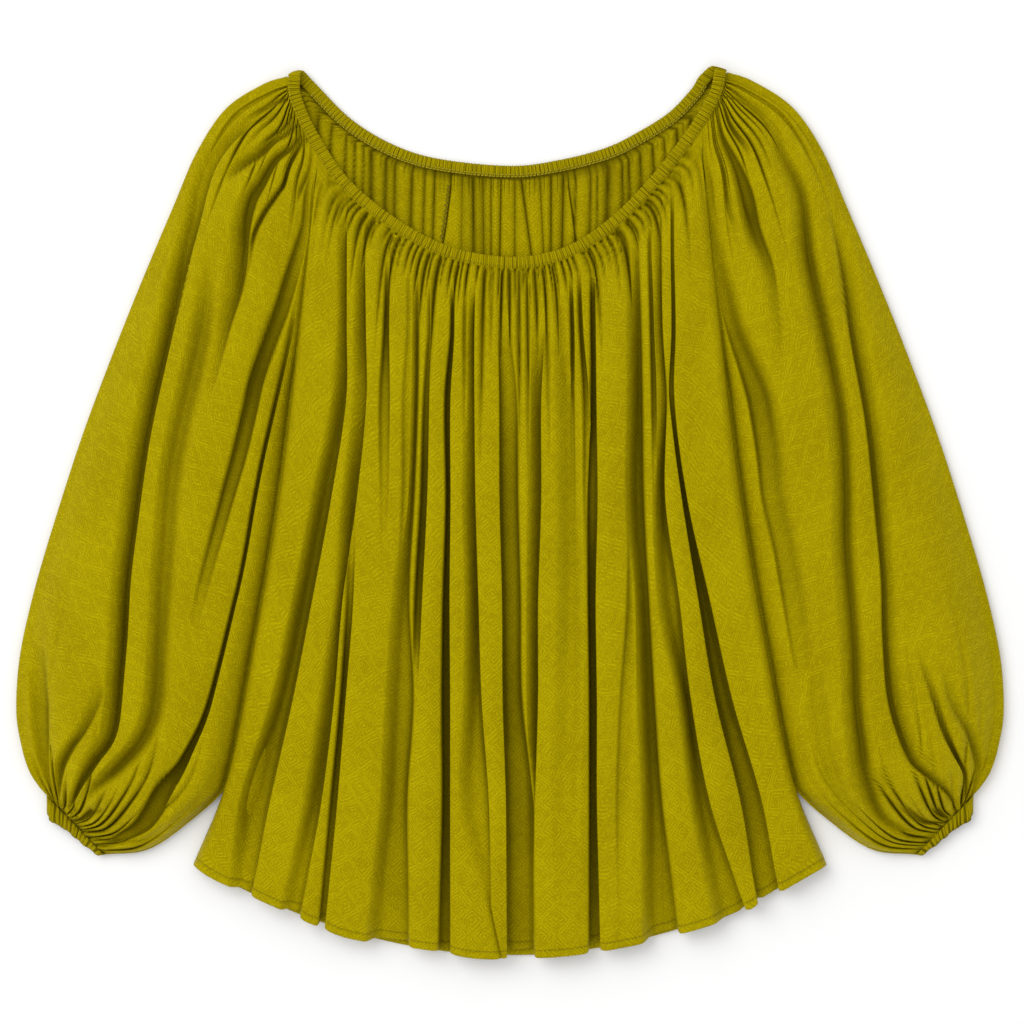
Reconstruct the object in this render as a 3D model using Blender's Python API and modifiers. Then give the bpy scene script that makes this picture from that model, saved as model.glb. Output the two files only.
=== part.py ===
"""Peasant blouse, laid flat: a gathered raglan top with an elastic neck and balloon sleeves.

The frame is +Z up off the surface, +Y towards the neck and +X to the viewer's right, with the origin
on the surface under the middle of the garment. Sizes here are in millimetres and become metres when a
mesh is made. Left and right are the viewer's.

Seven pieces lie in layers. The back lies on the surface. Each sleeve is a flattened tube, open to the
body above the underarm. The front lies on top, and its sides and the back's lie on the sleeves' inner
margins. A casing ring joins them at the neck and a narrow casing closes each wrist.
"""

import math
from collections import namedtuple

import bmesh
import bpy

MM = 0.001

# Cloth and seams
WALL = 1.2
SEAM_GAP = 0.4
FRONT_GATHER_GAP = 1.5
SLEEVE_GATHER_GAP = 0.88
CORNER_GAP = 0.9
CLOTH_COLOUR = (0.36, 0.30, 0.006, 1.0)
CLOTH_ROUGHNESS = 0.75
CASING_COLOUR = (0.32, 0.27, 0.006, 1.0)
CASING_ROUGHNESS = 0.8

# Neck casing: a band of cloth round an elastic
CASING_WIDTH = 9.5
CASING_THICKNESS = 3.0
CASING_FRONT_HEIGHT = 9.4
CASING_BACK_HEIGHT = 1.7
CASING_TIP_RISE = 1.2
CASING_STEPS = 34
CASING_BEND_STEPS = 5
CASING_LEFT_TIP = (-0.38, 0.92)
CASING_RIGHT_TIP = (0.35, 0.94)

# Body
SHOULDER_Y = 281.0
HEM_CORNER_Y = -284.0
HEM_MIDDLE_Y = -357.0
HEM_HALF_WIDTH = 254.0
SLEEVE_END_Y = -224.0
SIDE_DROP = 28.0
FRONT_TROUGH_FLOOR = 9.5
FRONT_EDGE_ROLL = 13.0
FRONT_BORDER = 9.0
FRONT_CLEAR = 2.0
FRONT_ROLL_SHARE = 0.3
FRONT_TOP_SHARE = 0.035
FRONT_CORNER_SHARE = 0.05
FRONT_SIDE_LOW = 5.1
FRONT_SIDE_HIGH = 6.6
FRONT_SIDE_CHANGE = (55.0, 110.0)

# Sleeve. Pairs are the two stations that a change runs between
SLEEVE_CLEAR = 1.4
SLEEVE_BACK_CLEAR = 0.24
SLEEVE_NECK_REACH = 3.0
SLEEVE_BOW_REACH = 1.5
SLEEVE_NECK_BASE = 0.8
SLEEVE_TIP_CLEAR = 1.4
SLEEVE_TIP_DROP = 2.0
SLEEVE_GOES_UNDER = (1.0, 2.5)
SLEEVE_SIDE_CLOSES = (5.0, 6.0)
SLEEVE_MARGIN_OPEN = 7.6
SLEEVE_MARGIN_CLOSED = 3.1
SLEEVE_MARGIN_STACK = 5.5
SLEEVE_MARGIN_OVERLAP = 3.0
SLEEVE_MARGIN_DROP = 1.6
SLEEVE_MARGIN_ENDS = (12.0, 13.0)
SLEEVE_TROUGH_FLOOR = 9.0
SLEEVE_DEPTH_CHANGE = (4.0, 10.0)
SLEEVE_FOLDS_START = 2.5
SLEEVE_FOLDS_STOP = (13.0, 15.0)
CREST_RUN = 22.0
WRIST_RUN = 4.0
WRIST_RUN_CHANGE = (12.5, 15.0)
MARGIN_RUN_SHARE = 0.6
TOP_START_RADII = 1.5

# Wrist casing
CUFF_HEIGHT = 8.4
CUFF_WALL = 1.8
CUFF_FREE_EDGE = [
    # share along the wrist seam, distance along it that the free edge lies at, width
    (0.0, 13.3, 12.5),
    (0.3, 28.0, 8.4),
    (0.7, 49.0, 6.4),
    (1.0, 64.4, 3.8),
]
CUFF_END_STEPS = 4
CUFF_SHARES = [0.25, 0.5, 0.75]
CUFF_REACHES = [0.0, 0.15, 0.55, 1.0]
CUFF_END_CURVE = 2.5

# Seam line of the casing on the front, from the left tip to the right tip
NECK_FRONT = [
    # station, x, y
    (0, -177.5, 350.0),
    (1, -176.5, 331.0),
    (2, -163.0, 300.0),
    (3, -136.0, 260.0),
    (4, -95.0, 226.0),
    (5, -50.0, 203.0),
    (6, 0.0, 194.5),
    (7, 45.0, 202.0),
    (8, 84.0, 226.0),
    (9, 120.0, 262.0),
    (10, 150.0, 301.0),
    (11, 168.0, 331.0),
    (12, 173.5, 353.4),
]

# Seam line of the casing on the back, from the left tip to the right tip
NECK_BACK = [
    # station, x, y
    (0, -167.0, 341.0),
    (1, -134.0, 308.0),
    (2, -99.0, 286.5),
    (3, -60.0, 274.0),
    (4, 0.0, 268.0),
    (5, 42.0, 273.0),
    (6, 80.0, 283.0),
    (7, 106.0, 295.5),
    (8, 133.0, 312.5),
    (9, 152.0, 332.0),
    (10, 159.0, 343.0),
]

# Half width of the body from the hem corner up to the neck
BODY_SIDE = [
    # y, half width
    (-284.0, 254.0),
    (-217.0, 227.0),
    (-115.0, 206.0),
    (1.0, 186.0),
    (121.0, 171.0),
    (281.0, 154.0),
]

# The front's height from the neck seam down to the hem
FRONT_CROWN = [
    # share of the way down, height of the ridges, share of each fold's depth
    (0.00, 10.4, 0.05),
    (0.04, 14.0, 0.35),
    (0.12, 20.0, 0.80),
    (0.30, 24.5, 1.00),
    (0.60, 26.0, 1.00),
    (0.85, 25.0, 1.00),
    (1.00, 20.5, 0.90),
]
FRONT_ROWS = [0.0, 0.035, 0.09, 0.17, 0.27, 0.38, 0.50, 0.62, 0.74, 0.83, 0.905, 0.96, 1.0]

# The folds that run from the gathers to the hem: where each trough lies at five levels
FOLD_LEVELS = (-320.0, -230.0, -50.0, 130.0, 245.0)
FrontFold = namedtuple("FrontFold", "hem hip waist chest neck depth_hem depth_chest half_width")
FRONT_FOLDS = [
    FrontFold(-213, -197, -157, -133, -124, 15, 6, 8),
    FrontFold(-168, -154, -131, -116, -104, 9, 9, 7),
    FrontFold(-128, -118, -104, -97, -88, 2, 6, 6),
    FrontFold(-92, -90, -80, -72, -66, 12, 9, 8),
    FrontFold(-54, -51, -49, -46, -44, 12, 14, 6),
    FrontFold(-12, -18, -27, -29, -28, 3, 8, 7),
    FrontFold(12, 6, 6, 0, -3, 12, 7, 9),
    FrontFold(52, 42, 46, 50, 44, 2, 8, 9),
    FrontFold(71, 67, 67, 67, 60, 11, 11, 6),
    FrontFold(126, 118, 105, 103, 88, 13, 12, 7),
    FrontFold(173, 157, 131, 121, 106, 9, 10, 7),
    FrontFold(210, 196, 153, 134, 122, 15, 14, 9),
]
# Columns from the left border to the first trough, between each two troughs, and on to the right border
FRONT_COUNTS = [3, 3, 3, 3, 3, 3, 2, 3, 2, 4, 3, 3, 3]

# The raglan seam of the back, from the neck to the underarm
BACK_RAGLAN = [
    # station, distance from the middle, y
    (0, 46.0, 267.5),
    (1, 48.8, 245.0),
    (2, 53.0, 217.0),
    (3, 62.0, 186.0),
    (4, 82.0, 153.0),
    (5, 118.0, 118.0),
    (6, 167.5, 88.5),
]

# The left sleeve from the neck to the wrist; the right one mirrors it
SLEEVE = [
    # station, outer fold x, y, inner margin x, y, crest height, fold radius
    (0, -178.9, 348.0, -154.9, 280.0, 10.2, 4.4),
    (1, -198.4, 342.0, -157.2, 265.0, 12.5, 4.0),
    (2, -228.0, 323.0, -156.0, 245.0, 15.0, 3.6),
    (3, -251.0, 289.0, -154.5, 217.0, 17.5, 3.6),
    (4, -270.0, 245.0, -157.0, 181.0, 19.5, 3.6),
    (5, -292.0, 193.0, -161.0, 137.0, 21.0, 3.6),
    (6, -315.0, 136.0, -168.5, 89.0, 22.0, 3.6),
    (7, -341.0, 67.0, -173.0, 33.0, 23.0, 3.6),
    (8, -362.0, 3.0, -178.0, -27.0, 24.5, 3.8),
    (9, -381.0, -61.0, -187.0, -87.0, 27.0, 4.0),
    (10, -393.0, -115.0, -198.0, -143.0, 30.0, 4.4),
    (11, -396.0, -159.0, -212.0, -187.0, 32.0, 4.8),
    (12, -392.0, -187.0, -227.5, -221.0, 32.0, 5.0),
    (13, -386.0, -207.0, -256.0, -248.0, 28.0, 5.0),
    (14, -378.0, -220.0, -290.0, -271.0, 18.0, 4.6),
    (15, -371.5, -227.0, -325.0, -275.0, 8.4, 4.2),
]
SLEEVE_STATIONS = [0, 0.5, 1, 2, 3, 4, 5, 6, 7, 8, 9, 10, 11, 12, 13, 14, 14.6, 15]

# The sleeve's long folds: each trough's share of the way in from the outer fold, at five stations
SLEEVE_FOLD_STATIONS = (0.0, 4.0, 8.0, 11.0, 15.0)
SleeveFold = namedtuple("SleeveFold", "neck upper elbow full wrist depth_upper depth_full half_width")
SLEEVE_FOLDS = [
    SleeveFold(0.26, 0.23, 0.34, 0.41, 0.22, 5, 7, 11),
    SleeveFold(0.50, 0.42, 0.49, 0.57, 0.50, 5, 7, 12),
    SleeveFold(0.72, 0.66, 0.67, 0.70, 0.66, 10, 2, 12),
    SleeveFold(0.90, 0.86, 0.84, 0.81, 0.80, 9, 10, 8),
]
# A sleeve's cross-section: shares of the way out underneath, turns round the outer fold, then the top
UNDER_SHARES = [0.0, 0.15, 0.30, 0.45, 0.60, 0.75, 0.88]
FOLD_TURNS = [-90.0, -40.0, 0.0, 45.0]
TOP_COUNTS = [2, 3, 3, 2, 1]
INNER_COLUMN = 2.5


def smooth(rows, at):
    """The other columns of a table at a place along its first column, on a smooth line through it."""
    at = min(max(at, rows[0][0]), rows[-1][0])
    k = next(i for i in range(len(rows) - 1) if at <= rows[i + 1][0])
    span = rows[k + 1][0] - rows[k][0]
    f = (at - rows[k][0]) / span

    def slope(i, column):
        low, high = rows[max(i - 1, 0)], rows[min(i + 1, len(rows) - 1)]
        return (high[column] - low[column]) / (high[0] - low[0]) * span

    start, end = 2 * f**3 - 3 * f**2 + 1, 3 * f**2 - 2 * f**3
    leave, arrive = f**3 - 2 * f**2 + f, f**3 - f**2
    return [
        start * rows[k][c] + end * rows[k + 1][c] + leave * slope(k, c) + arrive * slope(k + 1, c)
        for c in range(1, len(rows[0]))
    ]


def mix(a, b, share):
    """The value a share of the way from a to b."""
    return a + (b - a) * share


def ease(low, high, value):
    """0 below low, 1 above high and a smooth step between them."""
    f = min(max((value - low) / (high - low), 0.0), 1.0)
    return f * f * (3.0 - 2.0 * f)


def bell(distance, half_width):
    """1 in the middle of a trough, falling to nothing at its sides."""
    return math.exp(-((distance / half_width) ** 2))


def unit(x, y):
    """The direction of a plan vector."""
    length = math.hypot(x, y)
    return x / length, y / length


def seam_point(line, station):
    """A point of a neck seam line and the direction across the casing, towards its free edge."""
    x, y = smooth(line, station)
    step = 0.05
    x0, y0 = smooth(line, max(station - step, 0.0))
    x1, y1 = smooth(line, min(station + step, line[-1][0]))
    tx, ty = unit(x1 - x0, y1 - y0)
    return (x, y), (-ty, tx)


def station_at_x(line, x):
    """The station of a neck seam line that lies at x."""
    low, high = line[0][0], line[-1][0]
    for _ in range(30):
        middle = (low + high) / 2
        if smooth(line, middle)[0] < x:
            low = middle
        else:
            high = middle
    return (low + high) / 2


def neck_edge(line, station, clear=SEAM_GAP):
    """A cloth edge along the casing's seam line, clear of the casing."""
    (x, y), (wx, wy) = seam_point(line, station)
    return x - wx * clear, y - wy * clear


def casing_height(line, station):
    """Height of the middle of the casing: the front lies over the cloth, the back on the surface."""
    share = abs(2 * station / line[-1][0] - 1) ** 3
    if line is NECK_FRONT:
        return CASING_FRONT_HEIGHT + CASING_TIP_RISE * share
    return CASING_BACK_HEIGHT + CASING_TIP_RISE * share


def material(name, colour, roughness):
    """A cloth finish."""
    finish = bpy.data.materials.new(name)
    finish.use_nodes = True
    shader = finish.node_tree.nodes["Principled BSDF"]
    shader.inputs["Base Color"].default_value = colour
    shader.inputs["Roughness"].default_value = roughness
    shader.inputs["Metallic"].default_value = 0.0
    return finish


def add_piece(name, mesh, finish, collection):
    """Put a mesh in the scene as a named piece."""
    mesh.materials.append(finish)
    piece = bpy.data.objects.new(name, mesh)
    collection.objects.link(piece)
    return piece


def add_wall(piece, thickness):
    """Give a sheet its thickness, inwards from its outer face."""
    wall = piece.modifiers.new("wall", "SOLIDIFY")
    wall.thickness = thickness * MM
    wall.offset = -1.0
    wall.use_rim = True


def cloth(name, across, along, place, finish, collection):
    """A sheet of cloth whose wall goes inwards from its outer face.

    place(i, j) gives the outer face in millimetres at column i of across and row j of along. Seen from
    outside, the columns run from left to right and the rows from the bottom up.
    """
    sheet = bmesh.new()
    columns, rows = across - 1, along - 1
    bmesh.ops.create_grid(sheet, x_segments=columns, y_segments=rows, size=1.0)
    for vert in sheet.verts:
        i = round((vert.co.x + 1) / 2 * columns)
        j = round((vert.co.y + 1) / 2 * rows)
        vert.co = [value * MM for value in place(i, j)]
    mesh = bpy.data.meshes.new(name)
    sheet.to_mesh(mesh)
    sheet.free()
    piece = add_piece(name, mesh, finish, collection)
    add_wall(piece, WALL)


def spread(stops, counts):
    """Evenly spaced places between each two stops, as many as counts says, without the last stop."""
    places = []
    for a, b, count in zip(stops, stops[1:], counts):
        places += [mix(a, b, n / count) for n in range(count)]
    return places


def columns_between(lines, low, high):
    """Column places across the front: its borders, every trough, and evenly spaced ones between them."""
    roll = FRONT_BORDER * FRONT_ROLL_SHARE
    stops = [low + FRONT_BORDER, *lines, high - FRONT_BORDER]
    return [low, low + roll, *spread(stops, FRONT_COUNTS), stops[-1], high - roll, high]


# ---------------------------------------------------------------- body


def body_half_width(y):
    """Half the width of the body where its side edge is at y."""
    return smooth(BODY_SIDE, y)[0]


def hem_y(x):
    """The hem's curve."""
    return HEM_MIDDLE_Y + (HEM_CORNER_Y - HEM_MIDDLE_Y) * (x / HEM_HALF_WIDTH) ** 2


def front_side(share, side):
    """The front's side edge a share of the way down: x and y, for side -1 or 1."""
    station = station_at_x(NECK_FRONT, side * body_half_width(SHOULDER_Y))
    top = neck_edge(NECK_FRONT, station, FRONT_GATHER_GAP)
    y = mix(top[1], HEM_CORNER_Y, share)
    x = side * body_half_width(y)
    return mix(top[0], x, ease(0.0, FRONT_CORNER_SHARE, share)), y


def front_place(x, share):
    """The y of a point of the front, a share of the way down, at x."""
    left, right = front_side(share, -1), front_side(share, 1)
    across = (x - left[0]) / (right[0] - left[0])
    top_left, top_right = front_side(0.0, -1)[0], front_side(0.0, 1)[0]
    station = station_at_x(NECK_FRONT, mix(top_left, top_right, across))
    top = neck_edge(NECK_FRONT, station, FRONT_GATHER_GAP + CORNER_GAP * abs(2.0 * across - 1.0) ** 6)
    bottom = hem_y(mix(-HEM_HALF_WIDTH, HEM_HALF_WIDTH, across))
    return mix(top[1], bottom, share)


def fold_line(fold, x_guess, share):
    """The x of a front fold's trough in the row a share of the way down."""
    levels = list(zip(FOLD_LEVELS, fold[:5]))
    x = x_guess
    for _ in range(3):
        x = smooth(levels, front_place(x, share))[0]
    return x


def fold_depth(fold, y):
    """How deep a front fold is at y."""
    return mix(fold.depth_hem, fold.depth_chest, ease(FOLD_LEVELS[1], FOLD_LEVELS[3], y))


def side_seam_height(y, above):
    """Height of the side edges: they lie on the sleeves' margins, and on the surface below them."""
    return above * ease(SLEEVE_END_Y - SIDE_DROP, SLEEVE_END_Y, y)


def front_side_height(share):
    """Height of the front's outer face along its side edges."""
    y = mix(SHOULDER_Y, HEM_CORNER_Y, share)
    above = mix(FRONT_SIDE_LOW, FRONT_SIDE_HIGH, ease(*FRONT_SIDE_CHANGE, y))
    over_back = 2 * WALL + SEAM_GAP + side_seam_height(y, above)
    at_neck = casing_height(NECK_FRONT, NECK_FRONT[-1][0] / 2) + WALL / 2
    return mix(at_neck, over_back, ease(0.0, FRONT_TOP_SHARE, share))


def front_row(share):
    """The columns of one row of the front: (x, y, z)."""
    left, right = front_side(share, -1)[0], front_side(share, 1)[0]
    clear = FRONT_BORDER + FRONT_CLEAR
    lines = [fold_line(fold, fold.waist, share) for fold in FRONT_FOLDS]
    lines = [min(max(x, left + clear), right - clear) for x in lines]
    crown, share_of_depth = smooth(FRONT_CROWN, share)
    border_z = front_side_height(share)
    places = []
    for x in columns_between(lines, left, right):
        y = front_place(x, share)
        troughs = sum(
            fold_depth(fold, y) * share_of_depth * bell(x - line, fold.half_width)
            for fold, line in zip(FRONT_FOLDS, lines)
        )
        z = max(crown - troughs, FRONT_TROUGH_FLOOR)
        inward = min(x - left, right - x) / FRONT_EDGE_ROLL
        roll = math.sqrt(max(1.0 - (1.0 - min(inward, 1.0)) ** 2, 0.0))
        places.append((x, y, mix(border_z, z, roll)))
    return places


def make_front(finish, collection):
    """The front, gathered at the neck, with folds running to the hem."""
    rows = [front_row(share) for share in reversed(FRONT_ROWS)]
    cloth("front_panel", len(rows[0]), len(rows), lambda i, j: rows[j][i], finish, collection)


# The back's side rows: down the raglan seam, then down the side seam
RAGLAN_ROWS = [0.0, 0.5, 1.0, 2.0, 3.0, 4.0, 5.0, 6.0]
SIDE_SEAM_ROWS = [
    # half width, y
    (168.0, 72.0),
    (177.8, 50.0),
    (186.0, -10.0),
    (202.0, -100.0),
    (217.5, -182.0),
    (229.2, -230.0),
    (243.2, -261.5),
    (252.5, -282.5),
]
BACK_ACROSS = [0.0, 0.03, 0.07, 0.12, 0.17, 0.23, 0.30, 0.36, 0.43, 0.50]
BACK_PLEATS = [3, 6, 8]
BACK_PLEAT_RISE = 2.6
BACK_HEM_SAG = 73.5
BACK_SAG_START = 150.0
BACK_LIFT_START, BACK_LIFT_END = 88.0, 72.0
BACK_LIFT_RUN = (20.0, 34.0)
BACK_NECK_STATIONS = 2.0
BACK_PLEAT_STATIONS = (1.0, 5.0)


def raglan_point(station, clear):
    """A point beside the back raglan seam: half width and y, clear of it towards the middle."""
    step = 0.02
    x, y = smooth(BACK_RAGLAN, station)
    x0, y0 = smooth(BACK_RAGLAN, max(station - step, 0.0))
    x1, y1 = smooth(BACK_RAGLAN, min(station + step, BACK_RAGLAN[-1][0]))
    tx, ty = unit(x1 - x0, y1 - y0)
    return x + ty * clear, y - tx * clear


def back_rows():
    """The back's rows from the neck to the hem: half width, side y and raglan station or None."""
    rows = [(*raglan_point(station, SLEEVE_BACK_CLEAR), station) for station in RAGLAN_ROWS]
    return rows + [(*row, None) for row in SIDE_SEAM_ROWS]


def back_place(across, row):
    """A point of the back's outer face, which lies on the surface except over the sleeves' margins."""
    half_width, side_y, station = row
    x = mix(-half_width, half_width, across)
    sag = BACK_HEM_SAG * (1.0 - ease(HEM_CORNER_Y, BACK_SAG_START, side_y))
    y = side_y - sag * (1.0 - (x / half_width) ** 2)
    z = 0.0
    if station is None:
        inward = half_width - abs(x)
        lift = ease(BACK_LIFT_START, BACK_LIFT_END, side_y)
        z = side_seam_height(side_y, SLEEVE_MARGIN_STACK) * lift * (1.0 - ease(*BACK_LIFT_RUN, inward))
    else:
        keep = 1.0 - ease(0.0, BACK_NECK_STATIONS, station)
        seam = neck_edge(NECK_BACK, station_at_x(NECK_BACK, x))
        corner = neck_edge(NECK_BACK, station_at_x(NECK_BACK, math.copysign(half_width, x)))
        y += (seam[1] - corner[1]) * keep
        if station == 0:
            y = seam[1]
    return x, y, z


def make_back(finish, collection):
    """The back, flat on the surface, its sides lifted over the sleeves' inner margins."""
    rows = back_rows()[::-1]
    half = len(BACK_ACROSS) - 1
    across = BACK_ACROSS + [1.0 - share for share in BACK_ACROSS[-2::-1]]

    def place(i, j):
        x, y, z = back_place(across[2 * half - i], rows[j])
        column = min(i, 2 * half - i)
        station = rows[j][2]
        if column in BACK_PLEATS and station is not None:
            z += BACK_PLEAT_RISE * (1.0 - ease(*BACK_PLEAT_STATIONS, station))
        return x, y, z

    cloth("back_panel", len(across), len(rows), place, finish, collection)


# ---------------------------------------------------------------- sleeves


Section = namedtuple("Section", "station side outer inner under crest radius base margin margin_width")


def neck_seam_station(side, line, share):
    """The place on a neck seam line a share of the way from the neck's tip to the sleeve's seam."""
    tip = 0.0 if side < 0 else line[-1][0]
    if line is NECK_FRONT:
        seam = station_at_x(line, side * (body_half_width(SHOULDER_Y) + SLEEVE_CLEAR))
    else:
        seam = station_at_x(line, side * raglan_point(0.0, -SLEEVE_BACK_CLEAR)[0])
    return mix(tip, seam, share)


def sleeve_section(station, side):
    """The corners and heights of a sleeve's cross-section, for side -1 (left) or 1 (right)."""
    ox, oy, ix, iy, crest, radius = smooth(SLEEVE, station)
    at_neck = 1.0 - ease(0.0, SLEEVE_NECK_REACH, station)
    tip = neck_edge(NECK_FRONT, neck_seam_station(side, NECK_FRONT, 0.0), SLEEVE_TIP_CLEAR)
    seam = neck_edge(NECK_FRONT, neck_seam_station(side, NECK_FRONT, 1.0))
    tip_push = tip[0] + side * SLEEVE[0][1], tip[1] - SLEEVE_TIP_DROP - SLEEVE[0][2]
    outer = (-side * ox + tip_push[0] * at_neck, oy + tip_push[1] * at_neck)
    inner_y = iy + (seam[1] - SLEEVE[0][4]) * at_neck
    beside = body_half_width(inner_y) + SLEEVE_CLEAR
    inner = (side * mix(beside, -ix, ease(*SLEEVE_GOES_UNDER, station)), inner_y)
    under = inner
    if station < BACK_RAGLAN[-1][0]:
        ux, uy = raglan_point(station, -SLEEVE_BACK_CLEAR)
        under = (side * ux, uy)
    closed = ease(*SLEEVE_SIDE_CLOSES, station)
    margin = mix(SLEEVE_MARGIN_OPEN, SLEEVE_MARGIN_CLOSED, closed)
    neck_height = casing_height(NECK_FRONT, 1) + WALL / 2
    margin = mix(neck_height, margin, ease(0.0, SLEEVE_MARGIN_DROP, station))
    overlap = max(body_half_width(inner[1]) - abs(inner[0]), 0.0) + SLEEVE_MARGIN_OVERLAP
    base = mix(SLEEVE_NECK_BASE, 0.0, ease(0.0, 1.0, station))
    return Section(station, side, outer, inner, under, crest, radius, base, margin, overlap)


def along_neck(section, point, line, share):
    """A point of a cross-section, drawn to the casing's seam line near the neck."""
    keep = 1.0 - ease(0.0, SLEEVE_BOW_REACH, section.station)
    if not keep:
        return point
    near = neck_edge(line, neck_seam_station(section.side, line, share), SLEEVE_GATHER_GAP)
    tip = neck_edge(line, neck_seam_station(section.side, line, 0.0))
    end = neck_edge(line, neck_seam_station(section.side, line, 1.0))
    bow = (near[0] - mix(tip[0], end[0], share), near[1] - mix(tip[1], end[1], share))
    if section.station == 0:
        return near
    return point[0] + bow[0] * keep, point[1] + bow[1] * keep


def sleeve_under(section):
    """The sleeve's underside, from its inner edge out to where the outer fold starts."""
    (ox, oy), (ux, uy) = section.outer, section.under
    dx, dy = unit(ux - ox, uy - oy)
    start = (ox + dx * section.radius, oy + dy * section.radius)
    places = []
    for share in UNDER_SHARES:
        point = (mix(ux, start[0], share), mix(uy, start[1], share))
        x, y = along_neck(section, point, NECK_BACK, 1.0 - share)
        places.append((x, y, section.base))
    return places


def sleeve_fold(section):
    """The turn of cloth round the sleeve's outer fold."""
    (ox, oy), (ix, iy) = section.outer, section.inner
    dx, dy = unit(ix - ox, iy - oy)
    places = []
    for turn in FOLD_TURNS:
        angle = math.radians(turn)
        inward = section.radius * (1.0 - math.cos(angle))
        height = section.base + section.radius * (1.0 + math.sin(angle))
        places.append((ox + dx * inward, oy + dy * inward, height))
    return places


def sleeve_top(section):
    """The sleeve's top, from its outer fold in to the margin that the body covers."""
    (ox, oy), (ix, iy) = section.outer, section.inner
    dx, dy = unit(ix - ox, iy - oy)
    length = math.hypot(ix - ox, iy - oy)
    start = section.radius * TOP_START_RADII
    lines = [
        smooth(list(zip(SLEEVE_FOLD_STATIONS, fold[:5])), section.station)[0] * length
        for fold in SLEEVE_FOLDS
    ]
    station = section.station
    depths = ease(0.0, SLEEVE_FOLDS_START, station) * (1.0 - ease(*SLEEVE_FOLDS_STOP, station))
    run = mix(CREST_RUN, WRIST_RUN, ease(*WRIST_RUN_CHANGE, station))
    edge = section.base + 2.0 * section.radius
    margin_start = max(section.margin_width, 2 * INNER_COLUMN)
    stops = [start, *lines, length - margin_start]
    distances = [*spread(stops, TOP_COUNTS), stops[-1], length - INNER_COLUMN, length]
    places = []
    for d in distances:
        troughs = sum(
            mix(fold.depth_upper, fold.depth_full, ease(*SLEEVE_DEPTH_CHANGE, station))
            * bell(d - line, fold.half_width)
            for fold, line in zip(SLEEVE_FOLDS, lines)
        )
        z = mix(edge, section.crest, 1.0 - math.exp(-(d - start) / run)) - troughs * depths
        z = max(z, min(SLEEVE_TROUGH_FLOOR, section.crest))
        covered = section.margin_width * (1.0 - ease(*SLEEVE_MARGIN_ENDS, station))
        inward = max(length - d - covered, 0.0)
        z = mix(section.margin, z, 1.0 - math.exp(-inward / (run * MARGIN_RUN_SHARE)))
        share = max(d - section.radius, 0.0) / (length - section.radius)
        x, y = along_neck(section, (ox + dx * d, oy + dy * d), NECK_FRONT, share)
        places.append((x, y, z))
    return places


def make_sleeve(name, side, finish, collection):
    """A raglan balloon sleeve: a flattened tube, open to the body above the underarm."""
    rows = []
    for station in SLEEVE_STATIONS:
        section = sleeve_section(station, side)
        row = sleeve_under(section) + sleeve_fold(section) + sleeve_top(section)
        rows.append(row if side < 0 else row[::-1])
    rows.reverse()
    cloth(name, len(rows[0]), len(rows), lambda i, j: rows[j][i], finish, collection)


# ---------------------------------------------------------------- casings


def casing_sections():
    """The neck ring's cross-sections in order: middle, direction across and direction of its face."""
    front, back = [], []
    for line, count, sections in ((NECK_FRONT, CASING_STEPS, front), (NECK_BACK, CASING_STEPS, back)):
        for n in range(count + 1):
            station = line[-1][0] * n / count
            (x, y), (wx, wy) = seam_point(line, station)
            half = CASING_WIDTH / 2
            middle = (x + wx * half, y + wy * half, casing_height(line, station))
            sections.append((middle, (wx, wy, 0.0), (0.0, 0.0, 1.0 if line is NECK_FRONT else -1.0)))
    right = casing_bend(front[-1], back[-1], CASING_RIGHT_TIP)
    left = casing_bend(back[0], front[0], CASING_LEFT_TIP)
    return front + right + back[::-1] + left


def casing_bend(start, end, out):
    """The sections that turn the casing over at one tip of the neck."""
    (a, width_a, face_a), (b, width_b, _) = start, end
    radius = abs(a[2] - b[2]) / 2
    sections = []
    for n in range(1, CASING_BEND_STEPS):
        share = n / CASING_BEND_STEPS
        turn = math.pi * share
        push = radius * math.sin(turn)
        middle = (
            mix(a[0], b[0], share) + out[0] * push,
            mix(a[1], b[1], share) + out[1] * push,
            (a[2] + b[2]) / 2 + math.cos(turn) * (a[2] - b[2]) / 2,
        )
        wx, wy = unit(mix(width_a[0], width_b[0], share), mix(width_a[1], width_b[1], share))
        face = (out[0] * math.sin(turn), out[1] * math.sin(turn), face_a[2] * math.cos(turn))
        sections.append((middle, (wx, wy, 0.0), face))
    return sections


CASING_OUTLINE = [
    # across, towards its face, as shares of half the width and half the thickness
    (-1.0, -0.6),
    (-1.0, 0.6),
    (-0.45, 1.0),
    (0.45, 1.0),
    (1.0, 0.6),
    (1.0, -0.6),
    (0.45, -1.0),
    (-0.45, -1.0),
]


def make_neck_casing(finish, collection):
    """The elastic neck casing: one closed ring, folded over at its two tips."""
    sections = casing_sections()
    corners = len(CASING_OUTLINE)
    ring = bmesh.new()
    loops = []
    for (mx, my, mz), (wx, wy, wz), (fx, fy, fz) in sections:
        loop = []
        for across, towards in CASING_OUTLINE:
            a, t = across * CASING_WIDTH / 2, towards * CASING_THICKNESS / 2
            point = (mx + wx * a + fx * t, my + wy * a + fy * t, mz + wz * a + fz * t)
            loop.append(ring.verts.new([value * MM for value in point]))
        loops.append(loop)
    for loop, after in zip(loops, loops[1:] + loops[:1]):
        for k in range(corners):
            ring.faces.new((loop[k], after[k], after[(k + 1) % corners], loop[(k + 1) % corners]))
    bmesh.ops.recalc_face_normals(ring, faces=ring.faces)
    mesh = bpy.data.meshes.new("neck_casing")
    ring.to_mesh(mesh)
    ring.free()
    add_piece("neck_casing", mesh, finish, collection)


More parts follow.
